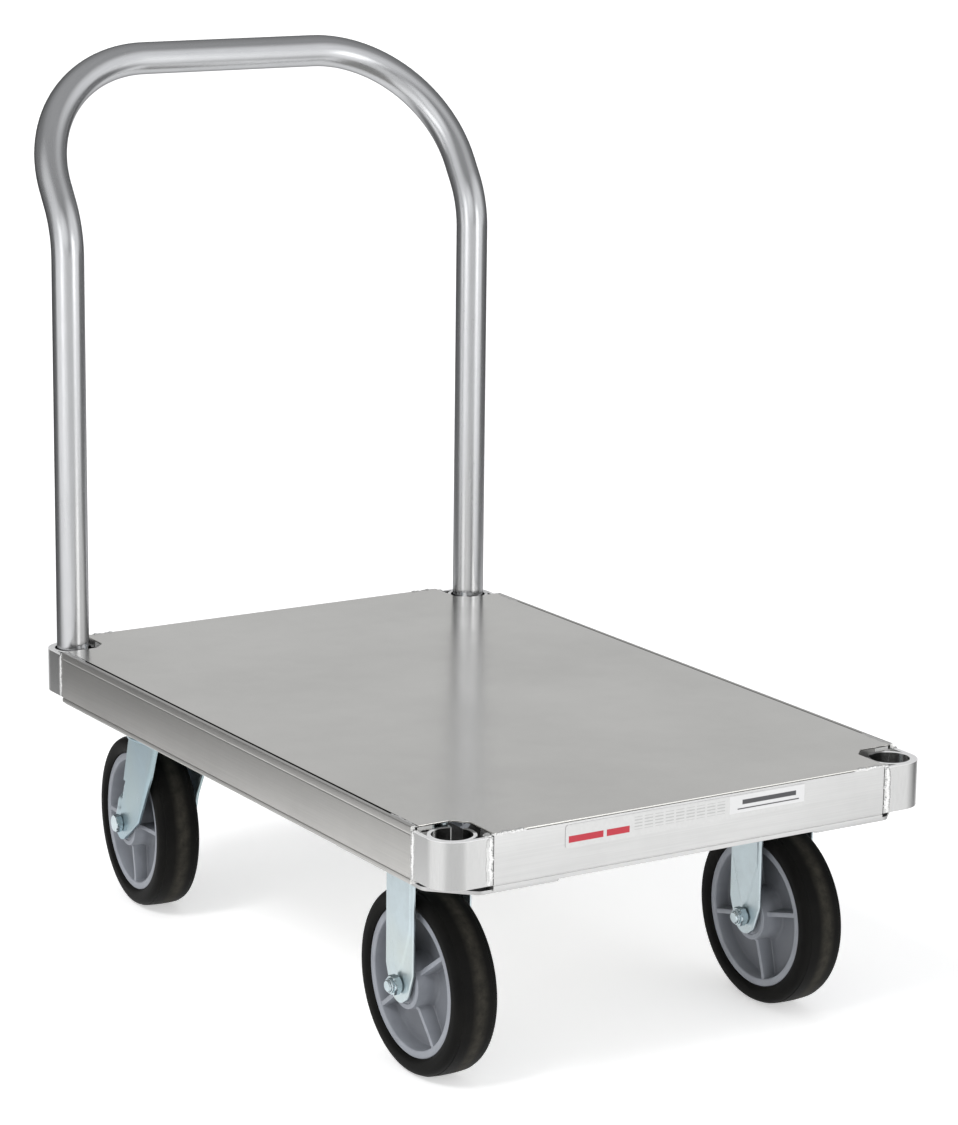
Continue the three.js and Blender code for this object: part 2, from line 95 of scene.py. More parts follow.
# ---- shape details, in millimetres ----------------------------------------------------------------------
SOCKET_RADIUS = 29.5
SOCKET_BORE = 21.3
SOCKET_SLIT = 13.0
SOCKET_ARM = 5.0
SOCKET_BACK = 25.2
RAIL_WEB = 4.0
RAIL_GAP = 0.6
JOINT = 55.2
MOUNT_CHAMFER = 42.0
CHORD_DEPTH = 25.4
CHORD_HEIGHT = 12.0
FOOT_DEPTH = 20.0
FOOT_THICK = 3.4
LIP = 5.0
TROUGH = 2.8
SHEET_SHIFT = 0.8
CROSS_WALL = 3.0
NOTCH_CHAMFER = 14.0
LEG_INNER = 32.0
LEG_OUTER = 36.8
LEG_TIP = 20.0
LEG_HALF_WIDTH = 27.5
HANDLE_RADIUS = 19.05
HANDLE_WALL = 2.1
HANDLE_STRAIGHT = 766.0
HANDLE_BEND = 110.0
HANDLE_LEAN = 33.0
HANDLE_REACH = 183.7
HANDLE_CORNER = 160.0
AXLE_RADIUS = 6.35
HEX_ACROSS = 19.0
NUT_THICK = 11.0
HEAD_THICK = 8.0
BEARING_INNER = 10.0
BEARING_OUTER = 15.0
PLATE_BOLT_ACROSS = 14.3
PLATE_BOLT_RADIUS = 4.76
CROWN_TOP = 223.5
CROWN_BOTTOM = 217.0
FOLD_ROOM = ([16, 20, 30, 48], [0.3, 1.4, 1.8, 9.0])  # distance from the axle, deepest fold allowed there
RIB_ANGLE = {"front_left": 36, "front_right": 14, "rear_left": 3, "rear_right": 30}

# ---- studio: line of sight over the floor, and patches of the surround (direction, from, to, strength) --
VIEW_AZIMUTH, VIEW_ELEVATION, VIEW_ROLL = -32.22, 13.11, 0.69
VIEW_X, VIEW_Y = math.sin(math.radians(-VIEW_AZIMUTH)), math.cos(math.radians(VIEW_AZIMUTH))
SKY_BASE = 0.30
SKY_PATCHES = [((VIEW_X * 0.95, VIEW_Y * 0.95, 0.31), 0.80, 0.97, 0.27),
               ((-0.95, -0.20, 0.22), 0.68, 0.97, 0.75),
               ((0.55, -0.80, 0.22), 0.68, 0.97, 0.85),
               ((-VIEW_X * 0.95, -VIEW_Y * 0.95, 0.30), 0.90, 0.99, 0.85),
               ((0.0, 0.0, 1.0), 0.5, 1.0, 0.22)]


# ---- what a user would change ---------------------------------------------------------------------------
class TruckFinishes(bpy.types.PropertyGroup):
    """Colours of the truck's finishes."""

    deck: FloatVectorProperty(
        name="Deck sheet", description="Mill-finish aluminium of the loading sheet",
        subtype="COLOR", size=3, min=0, max=1, default=(0.76, 0.75, 0.72))
    rail: FloatVectorProperty(
        name="Rails", description="Extruded aluminium of the rails",
        subtype="COLOR", size=3, min=0, max=1, default=(0.525, 0.525, 0.52))
    tube: FloatVectorProperty(
        name="Handle tube", description="Satin aluminium of the push handle",
        subtype="COLOR", size=3, min=0, max=1, default=(0.53, 0.535, 0.545))
    weld: FloatVectorProperty(
        name="Weld beads", description="Fresh aluminium weld metal",
        subtype="COLOR", size=3, min=0, max=1, default=(0.80, 0.80, 0.79))
    zinc: FloatVectorProperty(
        name="Zinc plate", description="Bright zinc-plated steel of the casters",
        subtype="COLOR", size=3, min=0, max=1, default=(0.54, 0.62, 0.65))
    core: FloatVectorProperty(
        name="Wheel core", description="Moulded grey plastic of the wheel cores",
        subtype="COLOR", size=3, min=0, max=1, default=(0.27, 0.285, 0.315))
    tyre: FloatVectorProperty(
        name="Tyre", description="Mould-on rubber of the tyres",
        subtype="COLOR", size=3, min=0, max=1, default=(0.005, 0.005, 0.005))
    accent: FloatVectorProperty(
        name="Label accent", description="Printed accent bar of the blank label",
        subtype="COLOR", size=3, min=0, max=1, default=(0.50, 0.02, 0.04))


class TruckSizes(bpy.types.PropertyGroup):
    """Sizes of the small details."""

    edge: FloatProperty(
        name="Edge radius", description="Rounding of sheared and sawn edges",
        unit="LENGTH", min=0.0001, max=0.002, default=0.0006)
    bead: FloatProperty(
        name="Weld bead width", description="Half width of the widest weld bead",
        unit="LENGTH", min=0.001, max=0.006, default=0.0042)
    ripple: FloatProperty(
        name="Weld ripple", description="Distance from one weld ripple to the next",
        unit="LENGTH", min=0.0008, max=0.006, default=0.0028)
    tube_sides: IntProperty(
        name="Tube sides", description="Facets round the handle tube",
        min=24, max=128, default=72)
    wheel_sides: IntProperty(
        name="Wheel sides", description="Facets round a tyre",
        min=48, max=256, default=144)


class TruckStudio(bpy.types.PropertyGroup):
    """Light and camera of the studio."""

    floor: FloatVectorProperty(
        name="Floor", description="Colour of the studio floor",
        subtype="COLOR", size=3, min=0, max=1, default=(0.93, 0.93, 0.93))
    key: FloatProperty(
        name="Key light", description="Power of the tall softbox in front on the right",
        unit="POWER", min=0, default=15.0)
    fill: FloatProperty(
        name="Fill light", description="Power of the tall softbox on the left",
        unit="POWER", min=0, default=10.0)
    side: FloatProperty(
        name="Side sun", description="Strength of the harder light from high on the left",
        min=0, default=0.9)
    top: FloatProperty(
        name="Overhead sun", description="Strength of the soft overhead light",
        min=0, default=0.1)
    # painted shade: the floor's tone outside its painted pool of light
    floor_shade: FloatProperty(
        name="Floor shade", description="Tone of the floor outside the pool of light",
        min=0, max=1, default=0.27)
    # painted light: the floor glows by its painted pool of light, though it is no lamp, which lifts the
    # truck's shadow
    glow: FloatProperty(
        name="Floor glow", description="Light given off by the floor, as by a translucent light table",
        min=0, default=0.48)
    lens: FloatProperty(
        name="Lens", description="Focal length of the camera",
        unit="CAMERA", min=10, default=117.75)


def finishes():
    """The colours set in the sidebar."""
    return bpy.context.scene.truck_finishes


def sizes():
    """The small sizes set in the sidebar."""
    return bpy.context.scene.truck_sizes


# ---- surfaces, all in millimetres until build() ---------------------------------------------------------
def cells(rows, cols, wrap_rows=False):
    """Corner numbers of every cell of a grid of points stored row after row, each row closing on itself."""
    r = np.arange(rows if wrap_rows else rows - 1)[:, None]
    c = np.arange(cols)[None, :]
    r2 = (r + 1) % rows
    c2 = (c + 1) % cols
    corners = [r * cols + c, r * cols + c2, r2 * cols + c2, r2 * cols + c]
    return np.stack(np.broadcast_arrays(*corners), -1).reshape(-1, 4)


def shell(rings):
    """Rings of points, shape (rows, cols, 3), skinned into a tube and closed with a flat face at each end."""
    rows, cols = rings.shape[:2]
    faces = cells(rows, cols).tolist()
    faces.append(list(range(cols))[::-1])
    faces.append(list(range((rows - 1) * cols, rows * cols)))
    return rings.reshape(-1, 3), faces


def hoop(rings):
    """Rings of points skinned into a surface closed both ways, the last ring joined to the first."""
    rows, cols = rings.shape[:2]
    return rings.reshape(-1, 3), cells(rows, cols, wrap_rows=True).tolist()


def moved(part, by):
    """Every point carried by the same step."""
    return part[0] + np.asarray(by, float), part[1]


def turned_about_z(part, angle):
    """x' = x cos a - y sin a, y' = x sin a + y cos a."""
    c, s = math.cos(angle), math.sin(angle)
    return part[0] @ np.array([[c, s, 0], [-s, c, 0], [0, 0, 1]]), part[1]


def turned_about_x(part, angle):
    """y' = y cos a - z sin a, z' = y sin a + z cos a."""
    c, s = math.cos(angle), math.sin(angle)
    return part[0] @ np.array([[1, 0, 0], [0, c, s], [0, -s, c]]), part[1]


def mirrored(part, sx, sy):
    """Mirror image across x = 0 where sx is -1 and y = 0 where sy is -1; build() turns the faces out."""
    return part[0] * np.array([sx, sy, 1.0]), part[1]


AXES = {"xy": (0, 1, 2), "yz": (1, 2, 0), "xz": (0, 2, 1)}


def on_plane(u, v, h, plane):
    """Points whose first two coordinates run in the named plane and whose third runs along its normal."""
    out = np.zeros(np.broadcast(u, v, h).shape + (3,))
    for axis, value in zip(AXES[plane], (u, v, h)):
        out[..., axis] = value
    return out


def rounded(corners, radii, steps=5):
    """A closed outline with each corner C replaced by the curve (1-t)^2 A + 2t(1-t) C + t^2 B, where A and B
    lie one radius before and after C on its two edges."""
    c = np.asarray(corners, float)
    r = np.broadcast_to(np.asarray(radii, float), (len(c),))[:, None]
    before = np.roll(c, 1, 0) - c
    after = np.roll(c, -1, 0) - c
    a = c + before / np.linalg.norm(before, axis=1)[:, None] * r
    b = c + after / np.linalg.norm(after, axis=1)[:, None] * r
    t = np.linspace(0, 1, steps + 1)[None, :, None]
    curve = (1 - t) ** 2 * a[:, None] + 2 * t * (1 - t) * c[:, None] + t**2 * b[:, None]
    return tidy(curve.reshape(-1, 2))


def rectangle(low_u, low_v, high_u, high_v):
    """The four corners of an upright rectangle, anticlockwise from the lowest."""
    return [(low_u, low_v), (high_u, low_v), (high_u, high_v), (low_u, high_v)]


def tidy(outline):
    """The same outline without repeated points, running anticlockwise."""
    p = np.asarray(outline, float)
    keep = np.linalg.norm(np.roll(p, -1, 0) - p, axis=1) > 1e-4
    p = p[keep]
    area = np.sum(p[:, 0] * np.roll(p[:, 1], -1) - np.roll(p[:, 0], -1) * p[:, 1])
    return p if area > 0 else p[::-1]


def offsets(outline):
    """Outward direction at each point of an anticlockwise outline, long enough to keep edges parallel."""
    edge = np.roll(outline, -1, 0) - outline
    edge /= np.linalg.norm(edge, axis=1)[:, None]
    normal = np.stack([edge[:, 1], -edge[:, 0]], 1)
    last = np.roll(normal, 1, 0)
    return (normal + last) / np.maximum(1 + np.sum(normal * last, 1), 0.35)[:, None]


def plate(outline, low, high, edge, plane="xy", steps=3):
    """A flat plate: its outline is carried round a rim of two quarter circles of radius edge, so that
    inset = edge (1 - sin a) and height = low + edge (1 - cos a), and closed with flat faces."""
    outline = tidy(outline)
    out = offsets(outline)
    a = np.linspace(0, math.pi / 2, steps + 1)
    inset = edge * (1 - np.sin(a))
    lift = edge * (1 - np.cos(a))
    inset = np.concatenate([inset, inset[::-1]])[:, None]
    height = np.concatenate([low + lift, (high - lift)[::-1]])[:, None]
    u = outline[None, :, 0] - inset * out[None, :, 0]
    v = outline[None, :, 1] - inset * out[None, :, 1]
    return shell(on_plane(u, v, height + 0 * u, plane))


def prism(outline, holes, low, high, plane):
    """An outline with holes carried straight from low to high; its end faces are filled by triangles."""
    loops = [tidy(outline)] + [tidy(hole)[::-1] for hole in holes]
    points, faces, first = [], [], 0
    for loop in loops:
        rows = on_plane(loop[None, :, 0], loop[None, :, 1], np.array([[low], [high]]), plane)
        points.append(rows.reshape(-1, 3))
        faces += (cells(2, len(loop)) + first).tolist()
        first += 2 * len(loop)
    flat = np.concatenate([np.arange(len(loop)) for loop in loops])
    starts = np.concatenate([np.full(len(loop), 2 * sum(len(p) for p in loops[:i]))
                             for i, loop in enumerate(loops)])
    lengths = np.concatenate([np.full(len(loop), len(loop)) for loop in loops])
    fill = np.array(tessellate_polygon([[(*p, 0.0) for p in loop] for loop in loops]))
    bottom = (starts + flat)[fill]
    top = (starts + flat + lengths)[fill]
    faces += bottom[:, ::-1].tolist() + top.tolist()
    return np.concatenate(points), faces


def turned(profile, sides, axis="z", closed=True):
    """A [radius, height] profile turned about an axis: (r cos a, r sin a, h). If closed, it makes a ring."""
    p = np.asarray(profile, float)
    a = np.linspace(0, 2 * math.pi, sides, endpoint=False)[None, :]
    r, h = p[:, :1], p[:, 1:] + 0 * a
    u, v = r * np.cos(a), r * np.sin(a)
    rings = np.stack([h, u, v], -1) if axis == "x" else np.stack([u, v, h], -1)
    return hoop(rings) if closed else shell(rings)


def smooth_line(points, per=6):
    """Catmull-Rom curve through the points: each span blends its four neighbours by the cubic basis."""
    p = np.asarray(points, float)
    q = np.concatenate([2 * p[:1] - p[1:2], p, 2 * p[-1:] - p[-2:-1]])
    t = np.linspace(0, 1, per, endpoint=False)[None, :, None]
    a, b, c, d = (q[i:len(q) - 3 + i][:, None] for i in range(4))
    square, cube = 2 * a - 5 * b + 4 * c - d, 3 * b - a - 3 * c + d
    curve = 0.5 * (2 * b + (c - a) * t + square * t**2 + cube * t**3)
    return np.concatenate([curve.reshape(-1, p.shape[1]), p[-1:]])


def hexagon(across, low, high, axis="z", chamfer=0.7, bore=0.0, sides=72):
    """A hex nut or bolt head: radius = across / 2 / cos(a mod 60 - 30) cut by a cone at both ends."""
    a = np.linspace(0, 2 * math.pi, sides, endpoint=False)[None, :]
    flat = across / 2 / np.cos(np.mod(a, math.pi / 3) - math.pi / 6)
    corner = across / math.sqrt(3)
    h = np.array([low, low, low + chamfer, (low + high) / 2, high - chamfer, high, high])
    cone = np.array([bore, corner - 2 * chamfer, corner, corner, corner, corner - 2 * chamfer, bore])
    r = np.minimum(flat, cone[:, None])
    if not bore:
        r, h = r[1:-1], h[1:-1]
    u, v = r * np.cos(a), r * np.sin(a)
    h = h[:, None] + 0 * u
    rings = np.stack([h, u, v], -1) if axis == "x" else np.stack([u, v, h], -1)
    return hoop(rings) if bore else shell(rings)


def screw(radius, low, high, axis="z", pitch=1.6, depth=0.45, sides=48):
    """A threaded rod: radius - depth * |saw(h / pitch - a / 2 pi)|, closed by slightly coned ends."""
    rows = max(int((high - low) / pitch * 8), 8)
    h = np.linspace(low, high, rows)[:, None]
    a = np.linspace(0, 2 * math.pi, sides, endpoint=False)[None, :]
    saw = np.abs(np.mod(h / pitch - a / (2 * math.pi), 1.0) * 2 - 1)
    end = np.minimum(h - low, high - h)
    r = radius - depth * saw - np.clip(1.0 - end, 0, 1) * 0.8
    h = h + 0 * a
    u, v = r * np.cos(a), r * np.sin(a)
    return shell(np.stack([h, u, v], -1) if axis == "x" else np.stack([u, v, h], -1))


def weld_bead(start, end, side, up, half_width, height, ripple):
    """A bead from start to end: an ellipse of half axes w(s) along side and h(s) along up, both scaled by
    0.82 + 0.18 |cos(pi s / ripple)| and closing to a point at each end as (1 - (2t-1)^6)^(1/2)."""
    start, end, side, up = (np.asarray(v, float) for v in (start, end, side, up))
    length = np.linalg.norm(end - start)
    t = np.linspace(0, 1, max(int(length / ripple * 5), 24))
    wave = 0.82 + 0.18 * np.abs(np.cos(math.pi * t * length / ripple))
    wander = 0.16 * np.sin(t * length * 0.35 + half_width) + 0.10 * np.sin(t * length * 0.9 + 1.3)
    swell = np.sqrt(np.clip(1 - (2 * t - 1) ** 6, 0.0004, 1)) * (wave + 0.5 * wander)
    a = np.linspace(0, 2 * math.pi, 16, endpoint=False)
    path = start + (end - start) * t[:, None] + side * (wander * half_width)[:, None]
    ring = (half_width * np.cos(a))[:, None] * side + (height * np.sin(a))[:, None] * up
    return shell(path[:, None] + swell[:, None, None] * ring[None])


def smoothstep(low, high, value):
    """t^2 (3 - 2t), where t runs from 0 at low to 1 at high and stays there outside."""
    t = np.clip((value - low) / (high - low), 0, 1)
    return t * t * (3 - 2 * t)


def strip(z, near, far, x_outer, x_inner, edge=1.0, across=14):
    """A bent sheet-metal leg: at each height z a rounded rectangle runs from y = near(z) to y = far(z) and
    from x_inner to x_outer, both given as functions of (y, z) so that the sheet can be embossed or bent."""
    s = np.linspace(-1, 1, across)
    u = np.concatenate([s, s[::-1]])[None, :]
    outer = np.concatenate([np.ones(across), np.zeros(across)])[None, :]
    rim = np.concatenate([[1], np.zeros(across - 2), [1, 1], np.zeros(across - 2), [1]])[None, :]
    z = z[:, None]
    mid, half = (near + far)[:, None] / 2, (far - near)[:, None] / 2
    y = mid + half * u
    x = np.where(outer > 0, x_outer(y, z), x_inner(y, z))
    thick = np.abs(x_outer(y, z) - x_inner(y, z))
    inward = np.where(outer > 0, -1.0, 1.0) * np.sign(x_outer(y, z) - x_inner(y, z))
    x = x + inward * rim * np.minimum(edge, thick / 3)
    return shell(np.stack([x, y, z + 0 * y], -1))


# ---- from surfaces to pieces ----------------------------------------------------------------------------
def build(name, parts, body, material, stands_for=(), crease=12.0, merge=1e-5):
    """Joins the parts into one mesh in metres, welds repeated points, turns every face outward and makes
    the piece ride on its body."""
    points, faces, first = [], [], 0
    for part_points, part_faces in parts:
        points.append(part_points)
        faces += [[corner + first for corner in face] for face in part_faces]
        first += len(part_points)
    mesh = bpy.data.meshes.new(name)
    mesh.from_pydata((np.concatenate(points) * MM).tolist(), [], faces)
    shape = bmesh.new()
    shape.from_mesh(mesh)
    bmesh.ops.remove_doubles(shape, verts=shape.verts, dist=merge)
    bmesh.ops.dissolve_degenerate(shape, edges=shape.edges, dist=1e-7)
    bmesh.ops.recalc_face_normals(shape, faces=shape.faces)
    shape.to_mesh(mesh)
    shape.free()
    corners = np.zeros(len(mesh.polygons), int)
    mesh.polygons.foreach_get("loop_total", corners)
    mesh.polygons.foreach_set("use_smooth", corners <= 4)
    mesh.set_sharp_from_angle(angle=math.radians(crease))
    piece = bpy.data.objects.new(name, mesh)
    bpy.context.scene.collection.objects.link(piece)
    mesh.materials.append(material)
    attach(piece, body)
    if stands_for:
        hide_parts(*stands_for)
    return piece


# ---- finishes -------------------------------------------------------------------------------------------
class Finish:
    """A node material: a Principled shader whose colour, roughness and bump come from layered noise."""

    def __init__(self, name, metallic=0.0, specular=0.5, rim=1.0):
        self.material = bpy.data.materials.new(name)
        self.material.use_nodes = True
        self.tree = self.material.node_tree
        self.shader = self.tree.nodes["Principled BSDF"]
        self.shader.inputs["Metallic"].default_value = metallic
        self.shader.inputs["Specular IOR Level"].default_value = specular
        self.shader.inputs["Specular Tint"].default_value = (rim, rim, rim, 1)
        self.where = self.tree.nodes.new("ShaderNodeTexCoord")

    def node(self, kind, **settings):
        made = self.tree.nodes.new(kind)
        for key, value in settings.items():
            setattr(made, key, value)
        return made

    def link(self, source, target):
        self.tree.links.new(source, target)

    def noise(self, scale, detail=3.0, roughness=0.55, distortion=0.0, source=None, offset=(0, 0, 0)):
        """Noise of the place, with its own scale along X, Y and Z."""
        place = self.node("ShaderNodeMapping")
        place.inputs["Scale"].default_value = scale
        place.inputs["Location"].default_value = offset
        self.link(source or self.where.outputs["Object"], place.inputs["Vector"])
        made = self.node("ShaderNodeTexNoise")
        made.inputs["Scale"].default_value = 1.0
        made.inputs["Detail"].default_value = detail
        made.inputs["Roughness"].default_value = roughness
        made.inputs["Distortion"].default_value = distortion
        self.link(place.outputs["Vector"], made.inputs["Vector"])
        return made.outputs["Fac"]

    def spread(self, value, low, high, from_low=0.3, from_high=0.7):
        """The value stretched from its usual range to low..high."""
        made = self.node("ShaderNodeMapRange")
        made.inputs["From Min"].default_value = from_low
        made.inputs["From Max"].default_value = from_high
        made.inputs["To Min"].default_value = low
        made.inputs["To Max"].default_value = high
        self.link(value, made.inputs["Value"])
        return made.outputs["Result"]

    def sum(self, a, b, how="ADD"):
        made = self.node("ShaderNodeMath", operation=how)
        for socket, value in zip(made.inputs, (a, b)):
            if isinstance(value, (int, float)):
                socket.default_value = value
            else:
                self.link(value, socket)
        return made.outputs["Value"]

    def tint(self, factor, dark, light):
        """A colour between dark and light, set by the factor."""
        made = self.node("ShaderNodeMix", data_type="RGBA")
        made.inputs["A"].default_value = (*dark, 1) if len(dark) == 3 else dark
        made.inputs["B"].default_value = (*light, 1) if len(light) == 3 else light
        self.link(factor, made.inputs["Factor"])
        return made.outputs["Result"]

    def over(self, factor, below, above):
        """One colour laid over another where the factor is 1."""
        made = self.node("ShaderNodeMix", data_type="RGBA")
        for key, value in (("A", below), ("B", above)):
            if hasattr(value, "is_linked"):
                self.link(value, made.inputs[key])
            else:
                made.inputs[key].default_value = (*value, 1)
        self.link(factor, made.inputs["Factor"])
        return made.outputs["Result"]

    def colour(self, source):
        self.link(source, self.shader.inputs["Base Color"])

    def roughness(self, source):
        self.link(source, self.shader.inputs["Roughness"])

    def bump(self, height, distance, strength=1.0):
        made = self.node("ShaderNodeBump")
        made.inputs["Distance"].default_value = distance
        made.inputs["Strength"].default_value = strength
        self.link(height, made.inputs["Height"])
        self.link(made.outputs["Normal"], self.shader.inputs["Normal"])


def shade(colour, factor):
    """The colour made darker or lighter, kept within 0 to 1."""
    return tuple(min(max(c * factor, 0.0), 1.0) for c in colour)


def brushed(name, colour, grain, rough=(0.28, 0.42), blotch=9.0, bump=0.00002, contrast=0.05, source=None,
            sawn=None, bore=None, rim=1.0):
    """Aluminium or steel with a fine grain drawn along one direction, cloudy patches and faint scratches.
    grain gives the noise scale per metre along X, Y and Z: small along the grain, large across it. sawn names
    an axis, a middle and a half length in metres, past which the cut faces are rougher, have the tone given
    and, where that tone is pale, shine less like metal; where that tone is dark, as on the deck sheet's side
    edges and the mounting plate's top, it is painted shade. bore is the place of a socket's bore from the
    deck's middle: its wall on the deck's side gets painted shade. rim scales the reflection at grazing
    angles."""
    made = Finish(name, metallic=1.0, rim=rim)
    where = made.where.outputs["Object"] if source is None else made.node("ShaderNodeUVMap").outputs["UV"]
    fine = made.noise(grain, detail=4.0, roughness=0.65, source=where)
    cloud = made.noise((blotch,) * 3, detail=4.0, roughness=0.6, offset=(3.1, 7.7, 1.9))
    scratch = made.noise(tuple(g * 0.31 for g in grain), detail=2.0, source=where, offset=(11, 5, 2))
    marks = made.spread(scratch, 0.0, 1.0, 0.66, 0.74)
    mixed = made.sum(made.sum(fine, 0.5, "MULTIPLY"), made.sum(cloud, 0.5, "MULTIPLY"))
    dark, light = shade(colour, 1 - contrast), shade(colour, 1 + contrast)
    base = made.tint(made.spread(mixed, 0, 1, 0.38, 0.62), dark, light)
    base = made.over(made.sum(marks, 0.16, "MULTIPLY"), base, shade(colour, 1.25))
    gloss = made.spread(mixed, rough[1], rough[0], 0.36, 0.64)
    split = made.node("ShaderNodeSeparateXYZ")
    made.link(made.where.outputs["Object"], split.inputs["Vector"])
    # where the tone given is dark, as on the deck sheet's side edges and the mounting plate's top, it is
    # painted shade
    if sawn:
        axis, centre, half, tone = sawn
        reach = made.sum(made.sum(split.outputs[axis], -centre), 0, "ABSOLUTE")
        end = made.spread(reach, 0.0, 1.0, half - 0.0002, half - 0.0001)
        base = made.over(end, base, tone)
        gloss = made.sum(gloss, made.sum(end, 0.3, "MULTIPLY"))
        made.link(made.spread(end, 1.0, 1.0 - 0.6 * tone[0], 0.0, 1.0), made.shader.inputs["Metallic"])
    # painted shade: the bore's wall on the deck's side is darkened to a third of the colour
    if bore:
        off_x = made.sum(made.sum(split.outputs["X"], 0, "ABSOLUTE"), -bore[0])
        off_y = made.sum(made.sum(made.sum(split.outputs["Y"], -DECK_Y * MM), 0, "ABSOLUTE"), -bore[1])
        back = made.spread(made.sum(off_x, off_y), 1.0, 0.0, -0.017, -0.011)
        base = made.over(back, base, shade(colour, 0.33))
    made.colour(base)
    made.roughness(gloss)
    made.bump(made.sum(fine, made.sum(marks, -0.4, "MULTIPLY")), bump)
    return made.material


def cast_finish(name, colour, rough=(0.35, 0.55), grain=900.0, bump=0.00005):
    """Weld metal or a plain steel surface with fine pits and a cloudy tone."""
    made = Finish(name, metallic=1.0)
    fine = made.noise((grain,) * 3, detail=3.0)
    cloud = made.noise((60,) * 3, detail=3.0)
    made.colour(made.tint(made.spread(cloud, 0, 1), shade(colour, 0.86), shade(colour, 1.08)))
    made.roughness(made.spread(fine, *rough))
    made.bump(fine, bump)
    return made.material


def zinc_finish(name, colour):
    """Bright zinc plate: a cool grey with soft spangle patches, a faint warm haze and fine pits."""
    made = Finish(name, metallic=1.0)
    cloud = made.noise((38,) * 3, detail=5.0, roughness=0.62)
    haze = made.noise((14, 14, 9), detail=2.0, offset=(4, 2, 9))
    pits = made.noise((700,) * 3, detail=3.0)
    base = made.tint(made.spread(cloud, 0, 1), shade(colour, 0.88), shade(colour, 1.07))
    warm = (colour[0] * 1.08, colour[1] * 1.0, colour[2] * 0.86)
    made.colour(made.over(made.spread(haze, 0.0, 0.55, 0.5, 0.75), base, warm))
    made.roughness(made.sum(made.spread(cloud, 0.24, 0.36), made.spread(pits, 0.0, 0.07)))
    made.bump(pits, 0.00003)
    return made.material


def plastic_finish(name, colour):
    """Moulded plastic: a matte skin with fine texture and flow clouds, and painted shade in the sunk parts.
    """
    made = Finish(name, specular=0.35)
    skin = made.noise((1100,) * 3, detail=2.0)
    flow = made.noise((26,) * 3, detail=3.0, distortion=0.8)
    across = made.node("ShaderNodeAttribute", attribute_name="across").outputs["Fac"]
    # painted shade: the colour is darker deep in the pockets, near the wheel's middle plane
    sunk = made.spread(made.sum(across, 0, "ABSOLUTE"), 1.0, 0.0, 0.006, 0.0195)
    face = made.tint(made.spread(flow, 0, 1), shade(colour, 0.92), shade(colour, 1.16))
    made.colour(made.over(sunk, face, shade(colour, 0.62)))
    made.roughness(made.sum(made.spread(flow, 0.42, 0.56), made.spread(skin, 0.0, 0.08)))
    made.bump(skin, 0.00006)
    return made.material


def rubber_finish(name, colour):
    """Black rubber with fine tooth, and a painted highlight: a brownish, patchy band round the middle of the
    tread.
    """
    made = Finish(name, specular=0.04)
    tooth = made.noise((800,) * 3, detail=3.0)
    bloom = made.noise((16,) * 3, detail=4.0, roughness=0.6)
    patch = made.noise((90,) * 3, detail=4.0, roughness=0.65)
    across = made.node("ShaderNodeAttribute", attribute_name="across").outputs["Fac"]
    # painted highlight: a brownish band round the middle of the tread stands in for the crown's reflection of
    # a softbox
    off = made.sum(made.sum(across, -0.0025), 0, "ABSOLUTE")
    tread_highlight_band = made.sum(made.spread(off, 1.0, 0.0, 0.003, 0.0105), made.spread(patch, 0.3, 1.0), "MULTIPLY")
    worn = (colour[0] * 1.9, colour[1] * 1.85, colour[2] * 1.7)
    base = made.tint(made.spread(bloom, 0, 1), colour, worn)
    made.colour(made.over(tread_highlight_band, base, (0.042, 0.039, 0.032)))
    made.roughness(made.sum(made.spread(bloom, 0.44, 0.54), made.sum(tread_highlight_band, 0.2, "MULTIPLY")))
    made.bump(tooth, 0.00012)
    return made.material


def box_mask(made, low_x, high_x, low_z, high_z, soft=0.0002):
    """1 inside a rectangle of the XZ plane and 0 outside it, from four steps of the place."""
    split = made.node("ShaderNodeSeparateXYZ")
    made.link(made.where.outputs["Object"], split.inputs["Vector"])
    sides = [(split.outputs["X"], low_x, 1), (split.outputs["X"], high_x, -1),
             (split.outputs["Z"], low_z, 1), (split.outputs["Z"], high_z, -1)]
    total = 1.0
    for value, at, sign in sides:
        low, high = (0.0, 1.0) if sign > 0 else (1.0, 0.0)
        edge = made.spread(value, low, high, at - soft, at + soft)
        total = edge if isinstance(total, float) else made.sum(total, edge, "MULTIPLY")
    return total


FINISHES = {}


